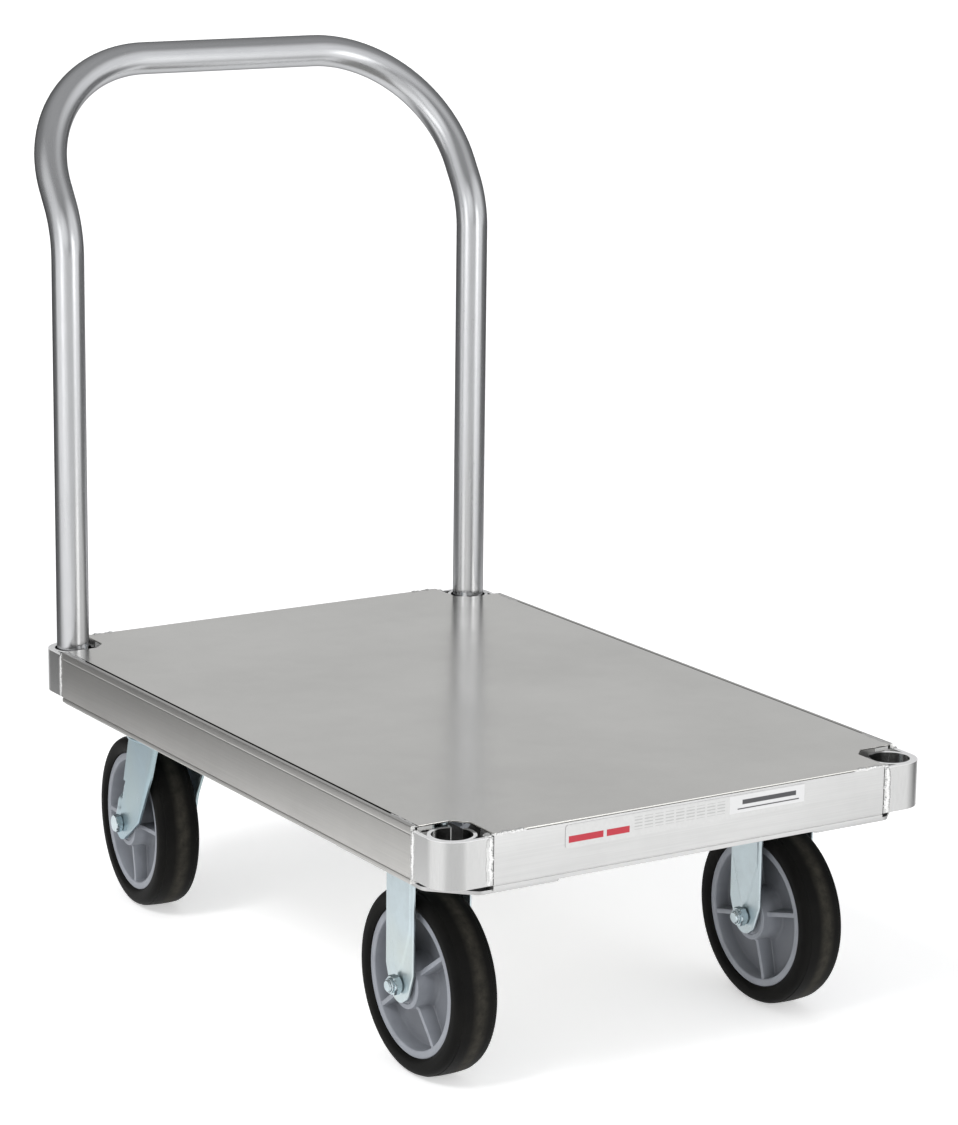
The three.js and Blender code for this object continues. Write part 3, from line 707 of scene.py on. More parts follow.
def make_finishes():
    """Every finish of the truck, made once."""
    f = finishes()
    sheet_half = HALF_W - LIP - TROUGH + SHEET_SHIFT - 0.1
    rail_half = HALF_L - RAIL_START - RAIL_GAP
    bore = ((HALF_W - SOCKET_RADIUS) * MM, (HALF_L - SOCKET_RADIUS) * MM)
    FINISHES.update(
        # painted shade: the sheet's side edges, down in the gap beside the rails' lips, are toned almost
        # black
        deck=brushed("deck_mill_sheet", f.deck, (620, 620, 620), rough=(0.17, 0.24), blotch=6.0,
                     contrast=0.06, bump=0.000004,
                     sawn=("X", SHEET_SHIFT * MM, sheet_half * MM, (0.03, 0.03, 0.03))),
        rail_x=brushed("rail_extrusion_across", shade(f.rail, 1.1), (9, 500, 700), rough=(0.28, 0.38)),
        rail_y=brushed("rail_extrusion_along", (f.rail[0], f.rail[1] * 0.985, f.rail[2] * 0.96),
                       (500, 9, 700), rough=(0.28, 0.38),
                       sawn=("Y", DECK_Y * MM, rail_half * MM, (0.95, 0.95, 0.93))),
        # painted shade on the bore's back wall, from bore
        socket=brushed("socket_extrusion", shade(f.rail, 1.08), (700, 700, 90), rough=(0.20, 0.28),
                       contrast=0.03, bump=0.000008, bore=bore,
                       sawn=("Z", 0.0, (SOCKET_HIGH[2] - 0.3) * MM, (0.95, 0.95, 0.95))),
        # painted shade: the mounting plate's top face, under the socket, is toned almost black
        plate=brushed("mounting_plate", f.rail, (300, 22, 300), rough=(0.34, 0.46),
                      sawn=("Z", 0.0, (MOUNT_HIGH[2] - 0.2) * MM, (0.09, 0.09, 0.095))),
        tube=brushed("handle_tube_satin", f.tube, (30, 420, 1), rough=(0.20, 0.28), bump=0.000008,
                     contrast=0.03, source="UV", rim=0.25),
        weld=cast_finish("weld_metal", f.weld, rough=(0.25, 0.45)),
        zinc=zinc_finish("zinc_plate", f.zinc),
        yoke=zinc_finish("zinc_plate_blue", (f.zinc[0] * 0.68, f.zinc[1] * 0.76, f.zinc[2] * 0.80)),
        bolt=cast_finish("bolt_zinc", shade(f.zinc, 0.98), rough=(0.14, 0.26), grain=500.0, bump=0.00002),
        steel=cast_finish("bearing_steel", (0.42, 0.42, 0.43), rough=(0.25, 0.4)),
        core=plastic_finish("wheel_core_plastic", f.core),
        tyre=rubber_finish("tyre_rubber", f.tyre),
    )


# ---- frame pieces ---------------------------------------------------------------------------------------
class TRUCK_OT_deck(bpy.types.Operator):
    """Builds the loading sheet: a plate with notched, chamfered corners and sheared edges"""

    bl_idname = "truck.deck"
    bl_label = "Deck sheet"

    def execute(self, context):
        x, y = HALF_W - LIP - TROUGH, HALF_L - 0.3
        nx, ny = HALF_W - RAIL_START, HALF_L - RAIL_START
        quarter = np.array([[x, ny], [nx + NOTCH_CHAMFER, ny], [nx, ny + NOTCH_CHAMFER], [nx, y]])
        outline = np.concatenate([quarter, (quarter * [-1, 1])[::-1],
                                  quarter * [-1, -1], (quarter * [1, -1])[::-1]])
        outline[outline[:, 0] > nx + 20, 0] += 2 * SHEET_SHIFT
        radii = np.tile([2.0, 4.0, 4.0, 2.0], 4)
        sheet = plate(rounded(outline, radii), SHEET_LOW[2], DECK_TOP, sizes().edge / MM)
        piece = moved(sheet, (0, DECK_Y, 0))
        build("deck_sheet_skin", [piece], "chassis", FINISHES["deck"], ["deck_sheet"])
        return {"FINISHED"}


def rail_outline(lip):
    """The rail's section: u inward from the outer face, w the height. Its outer face has a drawn groove near
    the foot and, where there is a lip, a shallow reed under it and a trough behind it."""
    under = DECK_TOP - CHORD_HEIGHT
    groove = RAIL_BOTTOM + 5.6
    trough = DECK_TOP - 5.6
    if lip:
        top = [(0, DECK_TOP), (LIP, DECK_TOP), (LIP, trough), (LIP + TROUGH, trough), (LIP + TROUGH, SEAT)]
        top_r = [1.6, 0.5, 0.4, 0.4, 0.4]
        reeds = [(0, DECK_TOP - 9.6), (0.25, DECK_TOP - 8.8), (0.25, DECK_TOP - 8.2), (0, DECK_TOP - 7.4)]
    else:
        top = [(0, SEAT)]
        top_r = [0.5]
        reeds = []
    foot_top = RAIL_BOTTOM + FOOT_THICK
    rest = [(CHORD_DEPTH, SEAT), (CHORD_DEPTH, under), (RAIL_WEB, under), (RAIL_WEB, foot_top),
            (FOOT_DEPTH, foot_top), (FOOT_DEPTH, RAIL_BOTTOM), (0, RAIL_BOTTOM)]
    rest_r = [0.8, 0.8, 2.5, 2.0, 0.8, 0.8, 1.2]
    foot = [(0, groove - 0.8), (0.7, groove - 0.4), (0.7, groove + 0.4), (0, groove + 0.8)]
    corners = top + rest + foot + reeds
    radii = top_r + rest_r + [0.15] * (len(foot) + len(reeds))
    return rounded(corners, radii, steps=4)


def rail_slot(lip):
    """The long narrow hollow in the middle of the rail's chord."""
    u0, width, height = 12.4 if lip else 7.2, 9, 1.8
    w0 = (SEAT + DECK_TOP - CHORD_HEIGHT - height) / 2
    return rounded(rectangle(u0, w0, u0 + width, w0 + height), 0.6, steps=3)


class TRUCK_OT_rails(bpy.types.Operator):
    """Builds the four rails by carrying their extruded section from end to end"""

    bl_idname = "truck.rails"
    bl_label = "Rails"

    def execute(self, context):
        end, side = HALF_W - RAIL_START, HALF_L - RAIL_START
        for name, lip, half, angle, place in (
            ("rail_front", False, end, 0.0, (0, DECK_Y - HALF_L, 0)),
            ("rail_rear", False, end, math.pi, (0, DECK_Y + HALF_L, 0)),
            ("rail_left", True, side, -math.pi / 2, (-HALF_W, DECK_Y, 0)),
            ("rail_right", True, side, math.pi / 2, (HALF_W, DECK_Y, 0)),
        ):
            half -= RAIL_GAP
            section = prism(rail_outline(lip), [rail_slot(lip)], -half, half, "yz")
            piece = moved(turned_about_z(section, angle), place)
            finish = FINISHES["rail_y" if lip else "rail_x"]
            build(name + "_extrusion", [piece], "chassis", finish, [name])
        return {"FINISHED"}


def arc(centre, radius, start, end, steps):
    """Points of a circle, centre + radius (cos a, sin a), with a from start to end in degrees."""
    a = np.radians(np.linspace(start, end, steps))
    return np.stack([centre[0] + radius * np.cos(a), centre[1] + radius * np.sin(a)], 1)


def socket_outline():
    """Plan of a corner socket, its outer corner at the origin: two arms, a thick round outer corner and a
    bore whose thinner back wall opens through a slit towards the deck."""
    r, t, reach = SOCKET_RADIUS, SOCKET_ARM, SOCKET_REACH
    centre = (r, r)
    join = math.degrees(math.acos((r - t) / SOCKET_BACK))
    outer_slit = math.degrees(math.asin(SOCKET_SLIT / 2 / SOCKET_BACK))
    inner_slit = math.degrees(math.asin(SOCKET_SLIT / 2 / SOCKET_BORE))
    return np.concatenate([
        [(reach, 0)],
        arc(centre, r, -90, -180, 25),
        [(0, reach), (t, reach)],
        arc(centre, SOCKET_BACK, 180 - join, 45 + outer_slit, 22),
        arc(centre, SOCKET_BORE, 45 + inner_slit, 405 - inner_slit, 64),
        arc(centre, SOCKET_BACK, 45 - outer_slit, -90 + join, 22),
        [(reach, t)],
    ])


def at_corner(part, sx, sy):
    """A front-left piece, drawn from its outer corner, carried to the named corner."""
    return moved(mirrored(moved(part, (-HALF_W, -HALF_L, 0)), -sx, -sy), (0, DECK_Y, 0))


class TRUCK_OT_sockets(bpy.types.Operator):
    """Builds the four split corner sockets and the caster mounting plates under them"""

    bl_idname = "truck.sockets"
    bl_label = "Corner sockets and mounting plates"

    def execute(self, context):
        edge = sizes().edge / MM
        e, corner = MOUNT_INSET, MOUNT_INSET + MOUNT_CHAMFER
        outline = [(corner, e), (MOUNT_SPAN[0], e), tuple(MOUNT_SPAN[:2]), (e, MOUNT_SPAN[1]), (e, corner)]
        for place, (sx, sy) in CORNERS.items():
            socket = plate(socket_outline(), SOCKET_LOW[2], SOCKET_HIGH[2], edge * 0.8)
            build("socket_" + place, [at_corner(socket, sx, sy)], "chassis",
                  FINISHES["socket"], ["corner_socket_" + place])
            mount = plate(rounded(outline, [5, 6, 6, 6, 5]), MOUNT_LOW[2], MOUNT_HIGH[2], edge)
            build("mount_plate_" + place, [at_corner(mount, sx, sy)], "chassis",
                  FINISHES["plate"], ["caster_mount_" + place])
        return {"FINISHED"}


class TRUCK_OT_cross_members(bpy.types.Operator):
    """Builds the square tubes under the sheet, round-cornered and open at both ends"""

    bl_idname = "truck.cross_members"
    bl_label = "Cross members"

    def execute(self, context):
        for place in ("front", "middle", "rear"):
            low, high = node_box("cross_member_" + place)
            outer = rectangle(low[1], low[2], high[1], high[2])
            inner = rectangle(*(low[1:] + CROSS_WALL), *(high[1:] - CROSS_WALL))
            tube = prism(rounded(outer, 4), [rounded(inner, 2)], low[0], high[0], "yz")
            build("cross_tube_" + place, [tube], "chassis", FINISHES["rail_x"],
                  ["cross_member_" + place])
        return {"FINISHED"}


class TRUCK_OT_welds(bpy.types.Operator):
    """Lays the weld beads: down each joint of rail and socket, along the sheet's ends and at the plates"""

    bl_idname = "truck.welds"
    bl_label = "Weld beads"

    def execute(self, context):
        w, ripple = sizes().bead / MM, sizes().ripple / MM
        low, high = SOCKET_LOW[2] + 0.3, SOCKET_HIGH[2] + 0.6
        mount, span, end = MOUNT_HIGH[2], MOUNT_SPAN, RAIL_START
        across, along, up, out_x, out_y = (1, 0, 0), (0, 1, 0), (0, 0, 1), (-1, 0, 0), (0, -1, 0)
        # start, end, direction across the bead, direction out of the surface, half width, height
        runs = [
            ((JOINT, 0, low), (JOINT, 0, high), across, out_y, w, 2.4),
            ((0, JOINT + 1, low), (0, JOINT + 1, high), along, out_x, w * 0.65, 1.7),
            ((JOINT + 1, 0.5, high), (JOINT + 1, 11, high - 1), across, up, w * 1.1, 2.6),
            ((0.5, JOINT, high), (5, JOINT, high - 1), along, up, w * 0.7, 1.6),
            ((end - 2, 1.2, SEAT + 0.6), (end + 40, 1.2, SEAT + 0.6), up, out_y, w * 0.55, 2.0),
            ((5.9, end - 2, DECK_TOP - 0.7), (5.9, end + 50, DECK_TOP - 0.7), across, up, w * 0.45, 1.3),
            ((span[0], MOUNT_INSET - 2, mount), (span[0], 18, mount), across, up, w * 0.8, 2.6),
            ((MOUNT_INSET - 2, span[1], mount), (18, span[1], mount), along, up, w * 0.8, 2.6),
        ]
        for place, (sx, sy) in CORNERS.items():
            beads = [weld_bead(a, b, side, out, half, height, ripple)
                     for a, b, side, out, half, height in runs]
            parts = [at_corner(bead, sx, sy) for bead in beads]
            build("weld_beads_" + place, parts, "chassis", FINISHES["weld"], crease=60)
        return {"FINISHED"}


class TRUCK_OT_label(bpy.types.Operator):
    """Builds the blank sticker on the front rail, with a plain accent bar and rows of grey dashes"""

    bl_idname = "truck.label"
    bl_label = "Label"

    def execute(self, context):
        low, high = node_box("front_label")
        outline = rounded(rectangle(low[0], low[2], high[0], high[2]), 4)
        sticker = plate(outline, low[1], high[1], 0.12, "xz", steps=2)
        made = Finish("label_film", specular=0.5)
        paper = made.noise((300,) * 3, detail=2.0)
        x0, z0 = low[0] * MM, low[2] * MM
        clear = shade(finishes().rail, 1.14)
        film = made.tint(made.spread(paper, 0, 1), shade(clear, 0.97), shade(clear, 1.03))
        card = box_mask(made, x0 + 0.203, x0 + 0.299, z0 + 0.005, z0 + 0.0235)
        film = made.over(card, film, (0.72, 0.72, 0.72))
        ink = box_mask(made, x0 + 0.004, x0 + 0.046, z0 + 0.0055, z0 + 0.0125)
        ink = made.sum(ink, box_mask(made, x0 + 0.050, x0 + 0.078, z0 + 0.0055, z0 + 0.0125), "MAXIMUM")
        film = made.over(ink, film, tuple(finishes().accent))
        split = made.node("ShaderNodeSeparateXYZ")
        made.link(made.where.outputs["Object"], split.inputs["Vector"])
        row = made.sum(made.sum(split.outputs["Z"], 0.0017, "PINGPONG"), 0.0011, "GREATER_THAN")
        gap = made.sum(made.sum(split.outputs["X"], 0.0065, "PINGPONG"), 0.0013, "GREATER_THAN")
        block = box_mask(made, x0 + 0.084, x0 + 0.197, z0 + 0.007, z0 + 0.0205)
        dashes = made.sum(made.sum(row, gap, "MULTIPLY"), block, "MULTIPLY")
        film = made.over(made.sum(dashes, 0.4, "MULTIPLY"), film, (0.22, 0.22, 0.22))
        for a, b, c, d in ((0.219, 0.288, 0.0135, 0.0185), (0.213, 0.292, 0.0085, 0.0098)):
            bar = box_mask(made, x0 + a, x0 + b, z0 + c, z0 + d)
            film = made.over(bar, film, (0.06, 0.06, 0.065))
            ink = made.sum(ink, bar, "MAXIMUM")
        printed = made.sum(made.sum(card, ink, "MAXIMUM"), made.sum(dashes, 0.4, "MULTIPLY"), "MAXIMUM")
        made.link(made.spread(printed, 1.0, 0.0, 0.0, 1.0), made.shader.inputs["Metallic"])
        made.colour(film)
        made.roughness(made.spread(paper, 0.28, 0.36))
        made.bump(paper, 0.00001)
        build("label_sticker", [sticker], "chassis", made.material, ["front_label"])
        return {"FINISHED"}


# ---- handle ---------------------------------------------------------------------------------------------
def handle_line():
    """Centre line of the handle and its tangent: straight leg, lean-back bend, straight lean, corner arc and
    top bar, then the same mirrored."""
    x = HALF_W - SOCKET_RADIUS
    y = DECK_Y + HALF_L - SOCKET_RADIUS
    foot, start, bend, corner = TUBE_LOW[2], HANDLE_STRAIGHT, HANDLE_BEND, HANDLE_CORNER
    lean = math.radians(HANDLE_LEAN)
    up = np.array([0, math.sin(lean), math.cos(lean)])
    leg = np.linspace(foot, start, 9)[:, None] * [0, 0, 1] + [-x, y, 0]
    a = np.linspace(0, lean, 12)[1:, None]
    curve = np.concatenate([0 * a - x, y + bend * (1 - np.cos(a)), start + bend * np.sin(a)], 1)
    b = np.linspace(0, math.pi / 2, 31)[:, None]
    first = curve[-1] + up * (HANDLE_REACH - corner)
    elbow = first + corner * ((1 - np.cos(b)) * [1, 0, 0] + np.sin(b) * up)
    bar = elbow[-1] * [0, 1, 1] + np.linspace(elbow[-1][0], 0, 4)[1:, None] * [1, 0, 0]
    half = np.concatenate([leg, curve, elbow, bar])
    line = np.concatenate([half, (half[:-1] * [-1, 1, 1])[::-1]])
    ahead, behind = np.roll(line, -1, 0) - line, line - np.roll(line, 1, 0)
    ahead[-1], behind[0] = behind[-1], ahead[0]
    ahead /= np.linalg.norm(ahead, axis=1)[:, None]
    behind /= np.linalg.norm(behind, axis=1)[:, None]
    tangent = ahead + behind
    return line, tangent / np.linalg.norm(tangent, axis=1)[:, None], lean


class TRUCK_OT_handle(bpy.types.Operator):
    """Builds the push handle: a round section carried along its bent centre line, open at both feet"""

    bl_idname = "truck.handle"
    bl_label = "Handle"

    def execute(self, context):
        line, tangent, lean = handle_line()
        sides = sizes().tube_sides
        across = np.array([0, math.cos(lean), -math.sin(lean)])
        u = np.cross(tangent, across)
        u /= np.linalg.norm(u, axis=1)[:, None]
        v = np.cross(tangent, u)
        a = np.linspace(0, 2 * math.pi, sides, endpoint=False)
        round_ = np.cos(a)[None, :, None] * u[:, None] + np.sin(a)[None, :, None] * v[:, None]
        outer = line[:, None] + HANDLE_RADIUS * round_
        inner = line[:, None] + (HANDLE_RADIUS - HANDLE_WALL) * round_
        lips = line[[0, -1], None] + (HANDLE_RADIUS - 0.65) * round_[[0, -1]]
        outer[0, :, 2] += 0.7
        outer[-1, :, 2] += 0.7
        rings = np.concatenate([lips[:1], outer, lips[1:], inner[::-1]])
        points, faces = hoop(rings)
        piece = build("handle_bar", [(points, faces)], "handle", FINISHES["tube"],
                      ["handle_tube"], crease=40, merge=1e-7)
        self.unroll(piece, rings, line, sides)
        return {"FINISHED"}

    def unroll(self, piece, rings, line, sides):
        """UV map in metres: U is the distance along the centre line and V runs round the tube."""
        mesh = piece.data
        step = np.linalg.norm(np.diff(line, axis=0), axis=1)
        along = np.concatenate([[0], np.cumsum(step)]) * MM
        rows = np.concatenate([along[:1], along, along[-1:], along[::-1]])
        layer = mesh.uv_layers.new(name="UVMap")
        corner = np.zeros(len(mesh.loops), int)
        mesh.loops.foreach_get("vertex_index", corner)
        position = np.zeros(len(mesh.vertices) * 3)
        mesh.vertices.foreach_get("co", position)
        flat = rings.reshape(-1, 3) * MM
        ring = np.repeat(np.arange(len(rings)), sides)
        turn = np.tile(np.arange(sides), len(rings))
        if len(mesh.vertices) != len(flat):
            raise RuntimeError("the handle's points were merged, so its grain can't be laid along the tube")
        v = np.abs(turn / sides - 0.5) * 2 * math.pi * HANDLE_RADIUS * MM
        uv = np.stack([rows[ring], v], 1)[corner]
        layer.data.foreach_set("uv", uv.reshape(-1))


# ---- wheels ---------------------------------------------------------------------------------------------
WALL_PROFILE = [(81.6, 22.4), (83.0, 23.6), (86.0, 25.0), (90.0, 25.4),
                (94.0, 25.1), (97.4, 23.6), (99.3, 21.0), (100.0, 18.2)]
TREAD_PROFILE = [(100.7, 17.6), (101.2, 12.0), (101.5, 6.0)]


def tyre_section():
    """Closed [radius, width] section of a tyre: a bulged wall, a round shoulder, a step and a low crown."""
    half = np.concatenate([smooth_line(WALL_PROFILE, 5), smooth_line(TREAD_PROFILE, 5)])
    return np.concatenate([half, [(WHEEL_RADIUS, 0)], (half * [1, -1])[::-1]])


def mark_across(piece, joint):
    """Stores each point's distance from the wheel's middle plane, in metres, as the attribute across."""
    mesh = piece.data
    place = np.zeros(len(mesh.vertices) * 3)
    mesh.vertices.foreach_get("co", place)
    across = (place.reshape(-1, 3) - np.array(joint["pos_m"])) @ np.array(joint["axis"])
    mesh.attributes.new("across", "FLOAT", "POINT").data.foreach_set("value", across)


def core_face(side):
    """One face of a wheel core as a height over (radius r, angle a): the hub, a sunk web and the rim, raised
    to the rib height where |r sin(a - rib)| is small. Columns follow the ribs' walls, so they stay sharp."""
    wall = np.array([0, 1.5, 2.4, 2.7, 3.1, 3.4, 4.4])
    hub_r = [15.3, 16.0, 21.0, 22.0, 22.8, 27.0, 27.8, 28.3, 28.8, 29.6, 31.0, 33.5]
    rim_r = [69, 70.6, 71.6, 72.3, 72.9, 73.4, 73.9, 74.3, 80.2, 80.7, 81.3]
    r = np.concatenate([hub_r, np.linspace(36, 66, 9), rim_r])[:, None]
    foot = np.arcsin(wall[None] / r)
    open_ = np.linspace(0, 1, 22)[None, 1:-1]
    quarter = np.concatenate([foot, foot[:, -1:] + (math.pi / 2 - 2 * foot[:, -1:]) * open_,
                              math.pi / 2 - foot[:, :0:-1]], 1)
    away = np.minimum(quarter, math.pi / 2 - quarter)
    a = np.concatenate([quarter + math.pi / 4 + k * math.pi / 2 for k in range(4)], 1)
    lateral = np.tile(r * np.sin(away), 4)
    knots_r = [15.3, 16.0, 21.0, 22.0, 22.8, 27.0, 27.8, 28.8, 29.6, 31.0, 33.5,
               69, 70.6, 71.6, 72.9, 73.4, 73.9, 74.3, 80.2, 80.7, 81.3]
    knots_x = [27.6, 28.3, 28.3, 28.6, 29.5, 29.5, 28.8, 12.0, 8.6, 6.4, 5.4,
               5.4, 6.0, 7.8, 20.8, 21.6, 21.9, 22.0, 22.0, 21.8, 21.2]
    web = np.interp(r, knots_r, knots_x) + 0 * a
    rib = np.interp(r, [28, 31, 60, 73], [24.5, 22.5, 20.8, 20.6])
    height = web + np.maximum(rib - web, 0) * (1 - smoothstep(2.3, 3.6, lateral))
    return np.stack([side * height, r * np.cos(a), r * np.sin(a)], -1)


def wheel_core():
    """Both faces of the core joined round the rim and through the bore."""
    return hoop(np.concatenate([core_face(1), core_face(-1)[::-1]]))


def wheel_place(part, joint):
    """A wheel piece, drawn about the X axis, carried to its axle."""
    axis = joint["axis"]
    centre = np.array(joint["pos_m"]) / MM
    return moved(turned_about_z(part, math.atan2(axis[1], axis[0])), centre)


def ring_profile(inner, outer, low, high, edge=0.4):
    """Section of a plain ring with rounded edges, for turned()."""
    return rounded(rectangle(inner, low, outer, high), edge, steps=3)


class TRUCK_OT_wheels(bpy.types.Operator):
    """Builds the tyres, cores and bearings of all four wheels"""

    bl_idname = "truck.wheels"
    bl_label = "Wheels"

    def execute(self, context):
        sides = sizes().wheel_sides
        for place in CORNERS:
            joint = JOINTS[place + "_wheel_spin"]
            body = place + "_wheel"
            tyre = wheel_place(turned(tyre_section(), sides, "x"), joint)
            piece = build("tyre_" + place, [tyre], body, FINISHES["tyre"],
                          [place + "_tyre"], crease=30)
            mark_across(piece, joint)
            core = wheel_place(turned_about_x(wheel_core(), math.radians(45 - RIB_ANGLE[place])), joint)
            piece = build("wheel_core_" + place, [core], body, FINISHES["core"],
                          [place + "_wheel_core"], crease=24)
            mark_across(piece, joint)
            bearing = turned(ring_profile(BEARING_INNER, BEARING_OUTER, -28.5, 28.5), 48, "x")
            bearing = wheel_place(bearing, joint)
            build("bearing_" + place, [bearing], body, FINISHES["steel"],
                  [place + "_roller_bearing"], crease=28)
        return {"FINISHED"}


class TRUCK_OT_axles(bpy.types.Operator):
    """Builds the axle bolts with their lock nuts, sleeves and washers"""

    bl_idname = "truck.axles"
    bl_label = "Axles"

    def execute(self, context):
        for place, (sx, sy) in CORNERS.items():
            joint = JOINTS[place + "_wheel_spin"]
            body = place + "_swivel" if sy > 0 else "chassis"
            face = LEG_OUTER + 0.3
            flip = 1.0 if sy > 0 else -1.0
            collar = face + NUT_THICK
            end = collar + 2.5
            bolt = [hexagon(HEX_ACROSS, -face - HEAD_THICK, -face, "x"),
                    turned([(AXLE_RADIUS, -face), (AXLE_RADIUS, face - 2)], 48, "x", closed=False),
                    screw(AXLE_RADIUS, face - 3, end, "x")]
            nut = [hexagon(HEX_ACROSS, face, collar - 2.5, "x", bore=AXLE_RADIUS + 0.2),
                   turned(ring_profile(AXLE_RADIUS + 0.2, 8.2, collar - 3.0, collar, 0.9), 48, "x")]
            sleeve = turned(ring_profile(AXLE_RADIUS + 0.3, 9.5, -LEG_INNER + 0.3, LEG_INNER - 0.3), 48, "x")
            washers = [turned(ring_profile(9.8, 14.5, 29.8, 31.4), 48, "x"),
                       turned(ring_profile(9.8, 14.5, -31.4, -29.8), 48, "x")]
            for name, parts, slot, finish, node in (
                ("axle_bolt_piece_", bolt, "bolt_steel", "bolt", "_axle_bolt"),
                ("axle_nut_piece_", nut, "bolt_steel", "bolt", "_axle_nut"),
                ("axle_sleeve_piece_", [sleeve], "zinc_steel", "steel", "_axle_sleeve"),
                ("hub_washers_", washers, "zinc_steel", "zinc", None),
            ):
                placed = [wheel_place(mirrored(part, flip, flip), joint) for part in parts]
                stands_for = [place + node] if node else []
                build(name + place, placed, body, FINISHES[finish], stands_for, crease=28)
        return {"FINISHED"}


# ---- caster forks ---------------------------------------------------------------------------------------
def rigid_leg(side):
    """A straight leg: full width down to 16 mm above the axle, a straight taper, then a round tip. Its outer
    face is raised by 1.2 mm inside a V that narrows towards the axle; its top flares into the plate."""
    top = CASTER_UNDER + 2
    tip_z = AXLE_Z - LEG_TIP * np.sin(np.radians(np.linspace(27, 89, 12)))
    z = np.concatenate([np.linspace(top, AXLE_Z + 70, 14), np.linspace(AXLE_Z + 68, AXLE_Z + 16, 27)[1:],
                        np.linspace(AXLE_Z + 15, AXLE_Z - 8, 10), tip_z])
    half = np.interp(z, [AXLE_Z - 8.73, AXLE_Z + 16], [17.99, LEG_HALF_WIDTH])
    tip = z < AXLE_Z - 8.73
    half = np.where(tip, np.sqrt(np.clip(LEG_TIP**2 - (z - AXLE_Z) ** 2, 0.3, None)), half)

    def flare(z):
        return 3.2 * smoothstep(top - 14, top, z) ** 2

    def outer(y, z):
        width = np.interp(z, [AXLE_Z + 8, AXLE_Z + 64], [2.0, 23.0])
        inside = smoothstep(0.8, -0.8, np.abs(y) - width) * smoothstep(AXLE_Z + 10, AXLE_Z + 16, z)
        return side * (LEG_OUTER - 1.0 + 1.2 * inside + flare(z))

    def inner(y, z):
        return side * (LEG_INNER + flare(z)) + 0 * y

    return strip(z, -half, half, outer, inner, edge=1.1, across=40)


def corner_bolts(half_x, half_y):
    """Four bolts through the mounting plate and the caster plate, with washers under heads and nuts."""
    top, under = MOUNT_HIGH[2], CASTER_UNDER
    pieces = [hexagon(PLATE_BOLT_ACROSS, top + 1.8, top + 8.2),
              screw(PLATE_BOLT_RADIUS, under - 12, top + 2),
              turned(ring_profile(5.2, 10.2, top + 0.05, top + 1.75), 36),
              turned(ring_profile(5.2, 10.2, under - 1.75, under - 0.05), 36),
              hexagon(PLATE_BOLT_ACROSS, under - 9.8, under - 1.8, bore=5.0)]
    parts = []
    for x in (-half_x, half_x):
        for y in (-half_y, half_y):
            parts += [moved(piece, (x, y, 0)) for piece in pieces]
    return parts


def caster_plate():
    """A caster's own top plate: round-cornered, 4.8 mm thick."""
    return plate(rounded(rectangle(-50.8, -57.15, 50.8, 57.15), 9, steps=8), CASTER_UNDER, CASTER_TOP, 0.9)


class TRUCK_OT_rigid_forks(bpy.types.Operator):
    """Builds the two rigid forks: a top plate with two embossed legs"""

    bl_idname = "truck.rigid_forks"
    bl_label = "Rigid forks"

    def execute(self, context):
        for place in ("front_left", "front_right"):
            centre = np.array(JOINTS[place + "_wheel_spin"]["pos_m"]) / MM * [1, 1, 0]
            parts = [caster_plate(), rigid_leg(1), rigid_leg(-1)]
            build("rigid_fork_" + place, [moved(p, centre) for p in parts], "chassis",
                  FINISHES["zinc"], [place + "_fork"], crease=24)
            build("plate_bolts_" + place, [moved(p, centre) for p in corner_bolts(42.0, 46.0)], "chassis",
                  FINISHES["bolt"], crease=28)
        return {"FINISHED"}


def yoke_leg(side, lead):
    """A swept-back leg: its leading and trailing edges are given by height, its tip is a circle round the
    axle, its lower trailing edge is bent inwards along a line, and a relief slot ends the bend. The bend is
    held back near the axle, by the distance from it, so that it stays clear of the turning hub."""
    tip_z = AXLE_Z - LEG_TIP * np.sin(np.radians(np.linspace(0, 89, 18)))
    z = np.concatenate([np.linspace(CROWN_TOP - 1, 160, 18), [157.4, 157.0, 153, 149, 145, 144.6],
                        np.linspace(143, AXLE_Z + 1, 24), tip_z])
    near = np.interp(z, [87.4, 117, 148, 180, CROWN_TOP], [lead - 14.06, -3, -18, -38, -58])
    far = np.interp(z, [AXLE_Z + 1, AXLE_Z + 26, 155, 180, CROWN_TOP], [lead + 19.98, lead + 13, 46, 38, 24])
    disc = np.sqrt(np.clip(LEG_TIP**2 - (z - AXLE_Z) ** 2, 0.3, None))
    near = np.where(z < 87.4, lead - disc, near)
    far = np.where(z < AXLE_Z + 1, lead + disc, far)
    far = np.where((z > 144.8) & (z < 157.2), far - 6.5, far)

    def bend(y, z):
        line = np.interp(z, [AXLE_Z - 8, AXLE_Z + 26, 148], [lead + 7, lead - 4, 43])
        ends = smoothstep(AXLE_Z - 10, AXLE_Z - 2, z) * smoothstep(147, 144, z)
        fold = np.clip(y - line, 0, 14) * 0.95 * ends
        from_axle = np.hypot(y - lead, z - AXLE_Z)
        fold = np.minimum(fold, np.interp(from_axle, *FOLD_ROOM))
        rolled = smoothstep(6, 0, y - np.interp(z, [117, 148, 180, CROWN_TOP], [-3, -18, -38, -58]))
        return -fold - 1.6 * rolled * smoothstep(120, 150, z)

    def outer(y, z):
        return side * (LEG_OUTER - 0.3 + bend(y, z))

    def inner(y, z):
        return side * (LEG_INNER + bend(y, z))

    return strip(z, near, far, outer, inner, edge=1.1, across=44)


